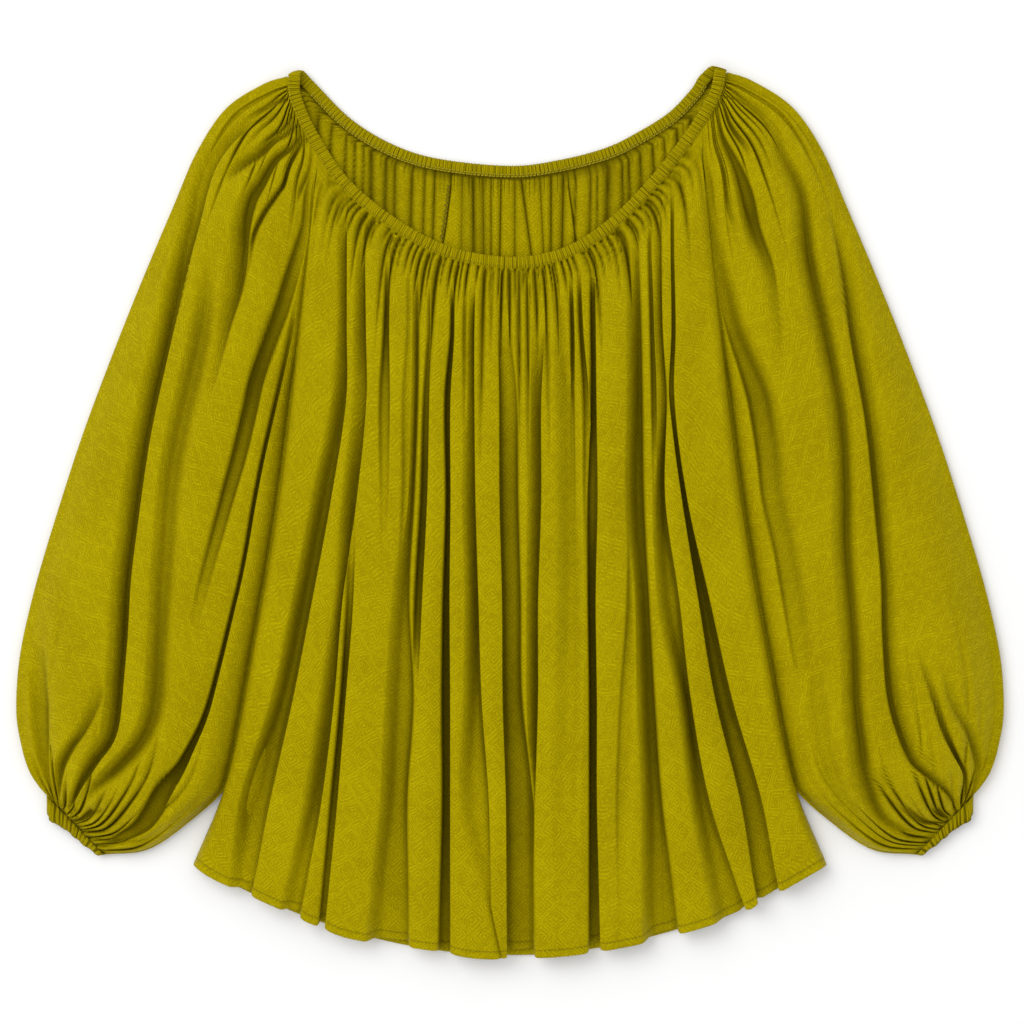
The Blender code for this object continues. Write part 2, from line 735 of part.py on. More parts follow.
def cuff_outline(length):
    """The wrist ring's outline, round its flattened section: distance along the wrist and height."""
    radius = CUFF_HEIGHT / 2
    turns = [math.pi * n / CUFF_END_STEPS for n in range(CUFF_END_STEPS + 1)]
    outline = [(radius - radius * math.sin(turn), radius - radius * math.cos(turn)) for turn in turns]
    outline += [(length * share, CUFF_HEIGHT) for share in CUFF_SHARES]
    far = length - radius
    outline += [(far + radius * math.sin(turn), radius + radius * math.cos(turn)) for turn in turns]
    return outline + [(length * share, 0.0) for share in reversed(CUFF_SHARES)]


def make_cuff(name, side, finish, collection):
    """A wrist casing: a flattened ring of elastic and cloth that carries the sleeve's gathers on."""
    _, ox, oy, ix, iy, _, _ = SLEEVE[-1]
    bx, by = unit(ix - ox, iy - oy)
    length = math.hypot(ix - ox, iy - oy)
    outline = cuff_outline(length)
    cuff = bmesh.new()
    loops = []
    for reach in CUFF_REACHES:
        loop = []
        for along, z in outline:
            free, width = smooth(CUFF_FREE_EDGE, along / length)
            forward, out = mix(along, free, reach**CUFF_END_CURVE), SEAM_GAP + width * reach
            x, y = ox + bx * forward + by * out, oy + by * forward - bx * out
            loop.append(cuff.verts.new((-side * x * MM, y * MM, z * MM)))
        loops.append(loop)
    for loop, after in zip(loops, loops[1:]):
        corners = zip(loop, after, after[1:] + after[:1], loop[1:] + loop[:1])
        for face in corners:
            cuff.faces.new(face if side < 0 else face[::-1])
    mesh = bpy.data.meshes.new(name)
    cuff.to_mesh(mesh)
    cuff.free()
    piece = add_piece(name, mesh, finish, collection)
    add_wall(piece, CUFF_WALL)


def main():
    """Build the blouse."""
    for item in list(bpy.data.objects):
        bpy.data.objects.remove(item, do_unlink=True)
    collection = bpy.data.collections.new("peasant_blouse")
    bpy.context.scene.collection.children.link(collection)
    cloth_finish = material("blouse_cloth", CLOTH_COLOUR, CLOTH_ROUGHNESS)
    casing_finish = material("gathered_casing", CASING_COLOUR, CASING_ROUGHNESS)
    make_front(cloth_finish, collection)
    make_back(cloth_finish, collection)
    make_sleeve("sleeve_left", -1, cloth_finish, collection)
    make_sleeve("sleeve_right", 1, cloth_finish, collection)
    make_neck_casing(casing_finish, collection)
    make_cuff("cuff_left", -1, casing_finish, collection)
    make_cuff("cuff_right", 1, casing_finish, collection)


main()
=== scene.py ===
"""Peasant blouse, laid flat: its cloth, casings, stitches and finishes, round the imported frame.

Sizes are in millimetres and become metres when a mesh is made. +Y is towards the neck, +Z up off the
surface, and left and right are the viewer's.
"""

import logging
import math
from dataclasses import dataclass, field
from enum import Enum
from typing import Sequence

import bmesh
import bpy
import numpy as np
from mathutils import Matrix, Vector


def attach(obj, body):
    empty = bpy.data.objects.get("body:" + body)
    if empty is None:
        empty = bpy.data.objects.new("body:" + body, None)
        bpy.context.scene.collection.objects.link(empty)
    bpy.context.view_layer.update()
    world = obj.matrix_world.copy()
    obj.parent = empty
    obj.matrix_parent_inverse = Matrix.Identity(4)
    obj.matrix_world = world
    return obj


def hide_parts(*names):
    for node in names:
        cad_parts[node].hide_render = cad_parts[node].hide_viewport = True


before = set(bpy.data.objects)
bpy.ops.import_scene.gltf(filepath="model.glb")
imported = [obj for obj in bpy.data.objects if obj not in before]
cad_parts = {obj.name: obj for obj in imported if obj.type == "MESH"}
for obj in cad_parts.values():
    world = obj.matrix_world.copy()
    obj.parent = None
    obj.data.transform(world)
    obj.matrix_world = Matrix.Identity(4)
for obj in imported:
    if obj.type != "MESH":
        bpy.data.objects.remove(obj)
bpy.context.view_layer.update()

MM = 0.001
# Thickness of the cloth
WALL = 0.7
# Least height of the front's and the sleeves' upper cloth above the surface
LOWEST = 4.4
LOG = logging.getLogger("blouse")
Rows = Sequence[Sequence[float]]

# Seam line of the neck casing on the front, from the left tip to the right tip: station, x, y
NECK_FRONT = (
    (0, -177.5, 350), (1, -176.5, 331), (2, -163, 300), (3, -136, 260), (4, -95, 226), (5, -50, 203),
    (6, 0, 194.5), (7, 45, 202), (8, 84, 226), (9, 120, 262), (10, 150, 301), (11, 168, 331),
    (12, 173.5, 353.4),
)
# Its seam line on the back, the same way
NECK_BACK = (
    (0, -167, 341), (1, -134, 308), (2, -99, 286.5), (3, -60, 274), (4, 0, 268), (5, 42, 273),
    (6, 80, 283), (7, 106, 295.5), (8, 133, 312.5), (9, 152, 332), (10, 159, 343),
)
# Half width of the body: y, half width
BODY_SIDE = (
    (-284, 254), (-217, 227), (-115, 206), (1, 186), (121, 171), (281, 154),
)


def smooth(rows: Rows, at: np.ndarray | float) -> np.ndarray:
    """Reads a table on a smooth line through its rows.

    Args:
        rows: The table; its first column rises.
        at: Places along the first column.

    Returns:
        The other columns at those places, on a last axis of their own.
    """
    table = np.asarray(rows, float)
    place = np.clip(np.asarray(at, float), table[0, 0], table[-1, 0])
    k = np.clip(np.searchsorted(table[:, 0], place, side="left") - 1, 0, len(table) - 2)
    count = np.arange(len(table))
    low, high = np.maximum(count - 1, 0), np.minimum(count + 1, len(table) - 1)
    slope = (table[high, 1:] - table[low, 1:]) / (table[high, 0] - table[low, 0])[:, None]
    span = (table[k + 1, 0] - table[k, 0])[..., None]
    f = (place - table[k, 0])[..., None] / span
    start, end = 2 * f**3 - 3 * f**2 + 1, 3 * f**2 - 2 * f**3
    leave, arrive = f**3 - 2 * f**2 + f, f**3 - f**2
    return start * table[k, 1:] + end * table[k + 1, 1:] + (leave * slope[k] + arrive * slope[k + 1]) * span


def mix(a: np.ndarray | float, b: np.ndarray | float, share: np.ndarray | float) -> np.ndarray | float:
    """The value a share of the way from a to b."""
    return a + (b - a) * share


def ease(low: float, high: float, value: np.ndarray | float) -> np.ndarray | float:
    """0 below low, 1 above high and a smooth step between them."""
    f = np.clip((value - low) / (high - low), 0.0, 1.0)
    return f * f * (3.0 - 2.0 * f)


def bell(distance: np.ndarray | float, width: np.ndarray | float) -> np.ndarray | float:
    """1 in the middle, falling to nothing at a width or two."""
    return np.exp(-((distance / width) ** 2))


def unit(vectors: np.ndarray) -> np.ndarray:
    """The directions of vectors on the last axis."""
    return vectors / np.linalg.norm(vectors, axis=-1, keepdims=True)


def seam_point(line: Rows, station: np.ndarray | float) -> tuple[np.ndarray, np.ndarray]:
    """A neck seam line's point, and the direction across the casing to its free edge.

    Args:
        line: The seam line.
        station: Places along it.

    Returns:
        The points and the directions, each with x and y on the last axis.
    """
    step = 0.05
    station = np.asarray(station, float)
    along = unit(smooth(line, station + step) - smooth(line, station - step))
    return smooth(line, station), np.stack([-along[..., 1], along[..., 0]], -1)


def neck_edge(line: Rows, station: np.ndarray | float, clear: float) -> np.ndarray:
    """Points beside a neck seam line, clear of the casing."""
    point, out = seam_point(line, station)
    return point - out * clear


def station_at_x(line: Rows, x: np.ndarray | float) -> np.ndarray:
    """The stations of a neck seam line that lie at x."""
    stations = np.linspace(line[0][0], line[-1][0], 600)
    return np.interp(x, smooth(line, stations)[:, 0], stations)


def half_width(y: np.ndarray | float) -> np.ndarray:
    """Half the width of the body where its side edge is at y."""
    return smooth(BODY_SIDE, y)[..., 0]


def casing_height(line: Rows, station: np.ndarray | float) -> np.ndarray:
    """Height of the middle of the neck casing."""
    share = np.abs(2 * np.asarray(station, float) / line[-1][0] - 1) ** 3
    return (9.4 if line is NECK_FRONT else 1.7) + 1.2 * share


# ---------------------------------------------------------------- folds


# The fewest columns between two sides of valleys
CROWD_LEAST = 6


class Turn(Enum):
    """How cloth turns into a valley.

    The values are the turn's width, its overhang, the run and share of its rounded shoulder, and how
    much painted shade its edge gets.
    """

    CRISP = (1.4, 1.0, 5.0, 0.16, 1.0)
    FIRM = (3.4, 0.3, 7.0, 0.25, 0.6)
    ROUND = (12.0, 0.0, 9.0, 0.2, 0.0)
    SOFT = (11.0, 0.0, 6.0, 0.1, 0.0)
    BROAD = (20.0, 0.0, 6.0, 0.0, 0.0)


@dataclass(frozen=True)
class Valley:
    """A run of cloth lying lower than the folds beside it.

    Attributes:
        levels: Rows of place along it, near side, far side and depth.
        near: How the cloth turns at the near side.
        far: How it turns at the far side.
        lift: How far the hem is drawn up in it.
    """

    levels: Rows
    near: Turn = Turn.CRISP
    far: Turn = Turn.CRISP
    lift: float = 0.0

    def sides(self, along: np.ndarray) -> tuple[np.ndarray, np.ndarray, np.ndarray]:
        """Its near side, far side and depth at places along it.

        Args:
            along: The places.

        Returns:
            The near sides, far sides and depths.
        """
        rows = np.array(sorted(self.levels))
        near, far, depth = np.moveaxis(smooth(rows, along), -1, 0)
        past = np.minimum(along - rows[0, 0], 0.0)
        near = near + past * (rows[1, 1] - rows[0, 1]) / (rows[1, 0] - rows[0, 0])
        far = far + past * (rows[1, 2] - rows[0, 2]) / (rows[1, 0] - rows[0, 0])
        return near, np.maximum(far, near + 1.2), np.maximum(depth, 0.0)

    def sink(
        self, across: np.ndarray, along: np.ndarray
    ) -> tuple[np.ndarray, np.ndarray, np.ndarray]:
        """What the valley does to cloth.

        Args:
            across: Places across the cloth.
            along: Places along the valley.

        Returns:
            How far the cloth drops, how far it slides across, and its share of the floor.
        """
        near, far, depth = self.sides(along)
        turn_near, lean_near, run_near, share_near, _ = self.near.value
        turn_far, lean_far, run_far, share_far, _ = self.far.value
        turn_near = np.minimum(turn_near, 1.8 * (far - near) + 2.0)
        turn_far = np.minimum(turn_far, 1.8 * (far - near) + 2.0)
        floor = ease(-0.5, 0.5, (across - near) / turn_near) * ease(-0.5, 0.5, (far - across) / turn_far)
        rim_near = share_near * np.exp(-np.maximum(near - across, 0.0) / run_near)
        rim_far = share_far * np.exp(-np.maximum(across - far, 0.0) / run_far)
        rim = np.where(2 * across < near + far, rim_near, rim_far)
        reach = np.minimum(np.minimum(0.08 * depth, 1.2), 0.22 * (far - near))
        slide = lean_near * (bell(across - near + 1.2, 1.5) - bell(across - near - 0.9, 1.1))
        slide = slide - lean_far * (bell(across - far - 1.2, 1.5) - bell(across - far + 0.9, 1.1))
        return depth * mix(rim, 1.0, floor), reach * slide, floor

    def brink(self, across: np.ndarray, along: np.ndarray, reach: float) -> np.ndarray:
        """Where its sharp turns lie: 1 on them, fading over a reach, and less where it is shallow.

        Args:
            across: Places across the cloth.
            along: Places along the valley.
            reach: How fast it fades away from a turn.

        Returns:
            The weight of its sharp turns: the painted shade along them, which the front also uses to lift its
                hem's corners.
        """
        near, far, depth = self.sides(along)
        at_near = self.near.value[-1] * bell(across - near - 0.4, reach)
        at_far = self.far.value[-1] * bell(across - far + 0.4, reach)
        return np.maximum(at_near, at_far) * np.clip(depth / 9.0, 0.0, 1.0)


def front_valley(top: int, near: Turn, far: Turn, lift: float, *rows: Sequence[float]) -> Valley:
    """A valley of the front.

    Args:
        top: The highest of the front's levels in it.
        near: How the cloth turns at its left side.
        far: How it turns at its right side.
        lift: How far the hem is drawn up in it.
        rows: Left side, right side and depth at each level from the top one down.

    Returns:
        The valley.
    """
    levels = FRONT_LEVELS[FRONT_LEVELS.index(top) :]
    return Valley([(level, *row) for level, row in zip(levels, rows)], near, far, lift)


def crowd(
    across: np.ndarray, along: np.ndarray, valleys: Sequence[Valley], count: int
) -> np.ndarray:
    """Places columns across rows, so that they follow the valleys' sides and lie closer beside them.

    Args:
        across: Even places across each row.
        along: The same points' places along the valleys.
        valleys: The valleys.
        count: How many columns to place.

    Returns:
        The columns' places across, a row each.
    """
    edges = [across[:, 0], across[:, -1]]
    for valley in valleys:
        for side in valley.sides(along)[:2]:
            gaps = across - side
            edges.append(np.array([np.interp(0.0, gap, place) for gap, place in zip(gaps, across)]))
    edges = np.sort(np.stack(edges, axis=1), axis=1)
    share = np.diff(edges, axis=1).mean(axis=0) / (edges[:, -1] - edges[:, 0]).mean()
    spare = count - 1 - CROWD_LEAST * len(share)
    stops = np.rint(np.concatenate([[0.0], (CROWD_LEAST + spare * share).cumsum()])).astype(int)
    columns = np.arange(count)
    part = np.clip(np.searchsorted(stops, columns, side="right") - 1, 0, len(share) - 1)
    f = (columns - stops[part]) / np.maximum(stops[part + 1] - stops[part], 1)
    f = mix(f, 0.5 - 0.5 * np.cos(math.pi * f), 0.6)
    return edges[:, part] + (edges[:, part + 1] - edges[:, part]) * f


def ripple(place: np.ndarray, pitch: float, seed: float) -> np.ndarray:
    """An uneven comb of gathers, from -1 in its creases to 1 on its crests, pitch apart."""
    drift = 0.9 * np.sin(place / pitch * 0.83 + seed) + 0.6 * np.sin(place / pitch * 1.71 + 2.3 * seed)
    return np.sin(2 * math.pi * place / pitch + drift)


def tubes(place: np.ndarray, pitch: float, seed: float) -> np.ndarray:
    """Gathers standing side by side: 0 in their sharp creases and 1 on their round crests."""
    drift = 0.24 * np.sin(place / pitch * 0.83 + seed) + 0.17 * np.sin(place / pitch * 1.9 + 2.3 * seed)
    return np.abs(np.sin(math.pi * (place / pitch + drift))) ** 0.65


def wander(x: np.ndarray, y: np.ndarray, seed: float) -> np.ndarray:
    """A slow uneven swell over cloth, about -1 to 1.

    Args:
        x: Places across.
        y: Places along, which it changes more slowly with.
        seed: Any number, for a swell of its own.

    Returns:
        The swell.
    """
    return (
        np.sin(x / 17.0 + 1.3 * np.sin(y / 71.0 + seed) + seed)
        + 0.7 * np.sin(x / 9.3 - y / 190.0 + 2.1 * seed)
        + 0.5 * np.sin(x / 31.0 + y / 57.0 + 3.7 * seed)
    ) / 2.2


def hollow(across: np.ndarray, height: np.ndarray, reach: float) -> np.ndarray:
    """How far each point lies below the cloth around it.

    Args:
        across: The points' places across, a row each.
        height: The points' heights.
        reach: How far around a point counts, in millimetres.

    Returns:
        The depths, positive in hollows.
    """
    even = np.arange(across.min(), across.max(), 0.5)
    share = bell(np.arange(-2.0 * reach, 2.0 * reach + 0.25, 0.5), reach)
    margin = len(share) // 2
    around = []
    for place, level in zip(across, height):
        order = np.argsort(place)
        padded = np.pad(np.interp(even, place[order], level[order]), margin, mode="edge")
        around.append(np.interp(place, even, np.convolve(padded, share / share.sum(), "valid")[: len(even)]))
    return np.array(around) - height


# Pleats below the back casing, as they show inside the neck: x at the casing, x 60 lower, depth, width
NECK_PLEATS = (
    (-152, -160, 3, 1.5), (-142, -148, 3.6, 1.4), (-131, -134, 3, 1.5), (-124, -126, 3.4, 1.3),
    (-117, -119, 3, 1.4), (-111, -112, 4.4, 2.2), (-99, -101, 3.4, 1.8), (-92, -93, 3, 1.4),
    (-78, -80, 3.6, 2), (-68, -70, 3, 1.5), (-60, -62, 3.2, 1.4), (-38, -39, 1.6, 2.6),
    (-29.5, -29, 3.4, 1.6), (-21.5, -21, 2, 2.2), (-15, -15, 2.4, 1.3), (-7, -8, 3.6, 1.3),
    (4, 4, 2.2, 1.8), (9, 17, 3.6, 1.4), (24, 27, 2.2, 1.6), (33, 33, 3.4, 1.3), (43, 42, 3, 1.8),
    (53, 52, 3.4, 1.2), (65, 64, 3.2, 1.8), (70, 70, 2.6, 1.2), (79, 78, 3.8, 2.2), (90, 91, 3, 1.4),
    (95, 97, 3.2, 1.5), (104, 107, 3, 1.8), (114, 118, 3.4, 1.5), (123, 128, 3, 1.5),
    (133, 139, 3.4, 1.6), (144, 152, 3, 1.6),
)


def neck_folds(x: np.ndarray, y: np.ndarray) -> np.ndarray:
    """Height of the cloth in its pleats inside the neck; nothing under the front.

    Args:
        x: Places across.
        y: Places towards the neck.

    Returns:
        The height above the cloth's base.
    """
    below = neck_edge(NECK_BACK, station_at_x(NECK_BACK, x), 0.3)[..., 1] - y
    into = y - neck_edge(NECK_FRONT, station_at_x(NECK_FRONT, x), 0.3)[..., 1]
    high = 4.4 + 0.7 * wander(1.7 * x, y, 2.2)
    drop = (1.0 - tubes(x, 4.1, 2.9)) * 2.6 * bell(below, 11.0 + 6.0 * np.sin(x / 7.0) ** 2)
    for top, low, depth, width in NECK_PLEATS:
        aside = np.abs(x - mix(top, low, below / 60.0))
        drop = np.maximum(drop, 1.15 * depth * np.exp(-aside / width))
    return (high - drop) * ease(-24.0, 4.0, into) * ease(0.0, 3.0, below)


# ---------------------------------------------------------------- meshes


def link(name: str, mesh: bpy.types.Mesh) -> bpy.types.Object:
    """Puts a mesh in the scene as a piece, shaded smooth.

    Args:
        name: The piece's name.
        mesh: Its mesh.

    Returns:
        The piece.
    """
    mesh.shade_smooth()
    piece = bpy.data.objects.new(name, mesh)
    bpy.context.scene.collection.objects.link(piece)
    return piece


def weave_sheet(
    name: str, points: np.ndarray, cloth: np.ndarray, depth_and_painted_shade: np.ndarray, closed: bool = False
) -> bpy.types.Object:
    """Makes a sheet of cloth from a grid.

    Args:
        name: The piece's name.
        points: Rows by columns of points in millimetres; from outside, rows go up and columns right.
        cloth: The same grid's places on the flat cloth, in millimetres.
        depth_and_painted_shade: Painted shade of each point, from 0 to 1, mostly where it lies down between
            folds, for the attribute "depth_and_painted_shade".
        closed: Whether the first and last columns are one.

    Returns:
        The piece, with its place on the cloth in the UV map "cloth", in metres.
    """
    rows, columns = points.shape[:2]
    sheet = bmesh.new()
    bmesh.ops.create_grid(sheet, x_segments=columns - 1, y_segments=rows - 1, size=1.0)
    mesh = bpy.data.meshes.new(name)
    sheet.to_mesh(mesh)
    flat = np.empty(len(mesh.vertices) * 3, np.float32)
    mesh.vertices.foreach_get("co", flat)
    flat = flat.reshape(-1, 3)
    i = np.rint((flat[:, 0] + 1) / 2 * (columns - 1)).astype(int)
    j = np.rint((flat[:, 1] + 1) / 2 * (rows - 1)).astype(int)
    mesh.vertices.foreach_set("co", (points[j, i] * MM).astype(np.float32).ravel())
    # The attribute carries painted shade: darkening that the finishes put down between folds and in grooves.
    depth = np.broadcast_to(np.asarray(depth_and_painted_shade, np.float32), (rows, columns))
    mesh.attributes.new("depth_and_painted_shade", "FLOAT", "POINT").data.foreach_set("value", depth[j, i].ravel())
    corners = np.empty(len(mesh.loops), np.int32)
    mesh.loops.foreach_get("vertex_index", corners)
    charted = mesh.uv_layers.new(name="cloth")
    charted.data.foreach_set("uv", (cloth[j, i][corners] * MM).astype(np.float32).ravel())
    if closed:
        sheet.clear()
        sheet.from_mesh(mesh)
        bmesh.ops.remove_doubles(sheet, verts=sheet.verts, dist=1e-6)
        bmesh.ops.recalc_face_normals(sheet, faces=sheet.faces)
        sheet.to_mesh(mesh)
    sheet.free()
    mesh.update()
    return link(name, mesh)


def give_wall(piece: bpy.types.Object, thickness: float = WALL) -> None:
    """Gives a sheet its thickness, inwards from its outer face.

    Args:
        piece: The sheet.
        thickness: Its thickness, in millimetres.
    """
    wall = piece.modifiers.new("wall", "SOLIDIFY")
    wall.thickness = thickness * MM
    wall.offset = -1.0
    wall.use_rim = True


def dress(piece: bpy.types.Object, material: bpy.types.Material, slot: str, *nodes: str) -> None:
    """Gives a piece its finish, hides the solids that it stands for and hangs it on the frame.

    Args:
        piece: The piece.
        material: Its finish.
        slot: Not used.
        nodes: The solids that it stands for, if any.
    """
    piece.data.materials.append(material)
    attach(piece, "root")
    if nodes:
        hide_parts(*nodes)
    LOG.info("%s: %d faces", piece.name, len(piece.data.polygons))


def chart(points: np.ndarray) -> np.ndarray:
    """Measures a grid's places on its flat cloth: distance across each row and down each column.

    Args:
        points: Rows by columns of points.

    Returns:
        The same grid of places on the cloth.
    """
    across = np.linalg.norm(np.diff(points, axis=1), axis=-1).cumsum(axis=1)
    across = np.concatenate([np.zeros((len(points), 1)), across], axis=1)
    along = np.linalg.norm(np.diff(points[..., :2], axis=0), axis=-1).cumsum(axis=0)
    along = np.concatenate([np.zeros((1, points.shape[1])), along], axis=0)
    middle = across[:, across.shape[1] // 2][:, None]
    return np.stack([across - middle, np.broadcast_to(along, across.shape)], -1)


# ---------------------------------------------------------------- shaders


class Ink:
    """A shader value or colour that Python's arithmetic works on."""

    def __init__(self, bench: "Bench", socket: bpy.types.NodeSocket) -> None:
        """Wraps a socket of a bench's material."""
        self.bench = bench
        self.socket = socket

    def _math(self, operation: str, *values: "Ink | float") -> "Ink":
        """A Math node on some values."""
        return self.bench.node("ShaderNodeMath", {"operation": operation}, dict(enumerate(values)))

    def __add__(self, other: "Ink | float") -> "Ink":
        """This plus another value."""
        return self._math("ADD", self, other)

    __radd__ = __add__

    def __mul__(self, other: "Ink | float") -> "Ink":
        """This times another value."""
        return self._math("MULTIPLY", self, other)

    __rmul__ = __mul__

    def __sub__(self, other: "Ink | float") -> "Ink":
        """This less another value."""
        return self._math("SUBTRACT", self, other)

    def __rsub__(self, other: float) -> "Ink":
        """A number less this."""
        return self._math("SUBTRACT", other, self)

    def __truediv__(self, other: "Ink | float") -> "Ink":
        """This over another value."""
        return self._math("DIVIDE", self, other)

    def zigzag(self) -> "Ink":
        """An even zigzag of this, 0 to 1 and back each unit."""
        return self._math("PINGPONG", self, 0.5) * 2.0

    def wave(self) -> "Ink":
        """A wave of this, one each unit, from -1 to 1."""
        return self._math("SINE", self * (2 * math.pi))

    def size(self) -> "Ink":
        """This without its sign."""
        return self._math("ABSOLUTE", self)

    def step(self, low: float, high: float) -> "Ink":
        """0 below low, 1 above high and smooth between.

        Args:
            low: Where it starts to rise.
            high: Where it is full.

        Returns:
            The share.
        """
        settings = {"interpolation_type": "SMOOTHSTEP"}
        inputs = {"Value": self, "From Min": low, "From Max": high}
        return self.bench.node("ShaderNodeMapRange", settings, inputs)


@dataclass
class Bench:
    """Where one material is made.

    Attributes:
        name: The material's name.
        material: The material.
    """

    name: str
    material: bpy.types.Material = field(init=False)

    def __post_init__(self) -> None:
        """Starts an empty material."""
        self.material = bpy.data.materials.new(self.name)
        self.material.use_nodes = True
        self.material.node_tree.nodes.clear()

    def node(self, kind: str, settings: dict, inputs: dict, out: int | str = 0) -> Ink:
        """Adds a node.

        Args:
            kind: The node's type.
            settings: Its own properties, which are set first.
            inputs: Values or links for its sockets, by name or number.
            out: Which output to give.

        Returns:
            That output, or nothing from a node that has none.
        """
        made = self.material.node_tree.nodes.new(kind)
        for key, value in settings.items():
            setattr(made, key, value)
        for key, value in inputs.items():
            socket = made.inputs[key]
            if isinstance(value, Ink):
                self.material.node_tree.links.new(value.socket, socket)
            else:
                socket.default_value = value
        return Ink(self, made.outputs[out] if made.outputs else None)

    def on_cloth(self) -> Ink:
        """The place on the flat cloth, in metres."""
        return self.node("ShaderNodeUVMap", {"uv_map": "cloth"}, {})

    def depth_and_painted_shade(self) -> Ink:
        """Painted shade from the attribute, from 0 to 1: most where the cloth lies down between folds."""
        return self.node("ShaderNodeAttribute", {"attribute_name": "depth_and_painted_shade"}, {}, "Fac")

    def noise(self, place: Ink, scale: float, detail: float = 2.0) -> Ink:
        """Soft noise at a place, scale blotches to the metre."""
        return self.node("ShaderNodeTexNoise", {}, {"Vector": place, "Scale": scale, "Detail": detail})

    def blend(self, share: Ink, a: tuple | Ink, b: tuple | Ink) -> Ink:
        """Mixes two colours."""
        settings = {"data_type": "RGBA", "blend_type": "MIX", "clamp_factor": True}
        return self.node("ShaderNodeMix", settings, {0: share, 6: a, 7: b}, 2)

    def bump(self, height: Ink, strength: float, distance: float) -> Ink:
        """Raises the surface by a height, up to a distance in metres."""
        inputs = {"Strength": strength, "Distance": distance, "Height": height}
        return self.node("ShaderNodeBump", {}, inputs)

    def split(self, vector: Ink) -> tuple[Ink, Ink]:
        """A vector's first two parts."""
        outputs = self.node("ShaderNodeSeparateXYZ", {}, {0: vector}).socket.node.outputs
        return Ink(self, outputs[0]), Ink(self, outputs[1])

    def finish(self, inputs: dict) -> bpy.types.Material:
        """Ends the material with a surface that has these inputs.

        Args:
            inputs: Values or links of the surface's sockets.

        Returns:
            The material.
        """
        surface = self.node("ShaderNodeBsdfPrincipled", {}, inputs)
        self.node("ShaderNodeOutputMaterial", {}, {"Surface": surface})
        return self.material


def linear(red: int, green: int, blue: int) -> tuple[float, float, float, float]:
    """A colour given in display steps of 0 to 255, as the shaders take it."""
    parts = [c / 255 for c in (red, green, blue)]
    return (*[c / 12.92 if c <= 0.04 else ((c + 0.055) / 1.055) ** 2.4 for c in parts], 1.0)


# How every cloth of the blouse shines
LUSTRE = {
    "Specular Tint": (1.0, 0.93, 0.03, 1.0),
    "Sheen Weight": 0.08,
    "Sheen Roughness": 0.4,
    "Sheen Tint": (0.95, 0.85, 0.0, 1.0),
}


@dataclass(frozen=True)
class JacquardFinish:
    """Olive satin jacquard: nested diamonds in slightly raised lines, on a crepe ground, with painted shade
    between folds.

    Attributes:
        name: The finish's name.
        light: Colour of the raised lines.
        ground: Colour between them.
        deep: Colour of the painted shade deep down between folds.
        diamond: Width and height of a diamond, in millimetres.
        lines: How many lines lie inside a diamond.
        broken: How much of the lines is missing, from 0 to 1.
        slant: Turn of the pattern on the cloth, in degrees.
        relief: How strongly the lines stand up.
    """

    name: str
    light: tuple = linear(186, 169, 2)
    ground: tuple = linear(138, 122, 0)
    deep: tuple = linear(74, 62, 0)
    diamond: tuple[float, float] = (24.0, 24.0)
    lines: float = 3.7
    broken: float = 0.45
    slant: float = 0.0
    relief: float = 0.5

    def build(self) -> bpy.types.Material:
        """Makes the material.

        Returns:
            The material.
        """
        bench = Bench(self.name)
        place = bench.on_cloth()
        turn = {"Vector": place, "Rotation": (0, 0, math.radians(self.slant))}
        u, v = bench.split(bench.node("ShaderNodeMapping", {}, turn))
        drift = bench.noise(place, 30.0, 1.0)
        shake = bench.noise(place, 320.0, 1.0)
        p = (u / (self.diamond[0] * MM)) + drift * 0.3 + shake * 0.03
        q = (v / (self.diamond[1] * MM)) + drift * 0.2 - shake * 0.03
        nest = p.zigzag() + q.zigzag()
        rings = (nest * self.lines).wave().step(-0.1, 0.9)
        lattice = (nest - 1.0).size().step(0.17, 0.05)
        whole = bench.noise(place, 170.0, 2.0).step(self.broken - 0.06, self.broken + 0.08)
        crepe = bench.noise(place, 1000.0, 2.0)
        raised = rings * whole + lattice * 0.2
        cloud = bench.noise(place, 16.0, 3.0)
        share = raised * 0.5 + crepe * 2.0 + cloud * 0.6 - 0.95
        # Base colour: the pattern, darkened towards the deep colour by the painted shade attribute.
        inputs = {
            "Base Color": bench.blend(
                bench.depth_and_painted_shade() * 0.8, bench.blend(share, self.ground, self.light), self.deep
            ),
            "Roughness": 0.62 - raised * 0.06,
            "Specular IOR Level": 0.3,
            "Normal": bench.bump(raised * 0.9 + crepe * 1.2, self.relief, 0.0007),
        }
        return bench.finish(LUSTRE | inputs)


@dataclass(frozen=True)
class CasingFinish:
    """The same cloth drawn up over elastic, with a fine crinkle; painted shade darkens its ruching and the
    troughs of the crinkle.

    Attributes:
        name: The finish's name.
        light: Colour on the ribs, out of the painted shade.
        deep: Colour of the painted shade in their grooves.
        pitch: Distance between fine crinkles, in millimetres.
    """

    name: str
    light: tuple = linear(172, 155, 3)
    deep: tuple = linear(84, 72, 0)
    pitch: float = 1.7

    def build(self) -> bpy.types.Material:
        """Makes the material.

        Returns:
            The material.
        """
        bench = Bench(self.name)
        place = bench.on_cloth()
        along, _ = bench.split(place)
        drift = bench.noise(place, 160.0, 2.0)
        crinkle = (along / (self.pitch * MM) + drift * 1.6).wave()
        crepe = bench.noise(place, 1400.0, 2.0)
        # Painted shade: darker in the crinkle's troughs and, by the attribute, in the ruching's grooves.
        share = crinkle * 0.25 + crepe * 0.9 - bench.depth_and_painted_shade() * 0.8 + 0.3
        inputs = {
            "Base Color": bench.blend(share, self.deep, self.light),
            "Roughness": 0.7 - crinkle * 0.05,
            "Specular IOR Level": 0.25,
            "Normal": bench.bump(crinkle * 0.6 + crepe * 0.6, 0.6, 0.0004),
        }
        return bench.finish(LUSTRE | inputs)


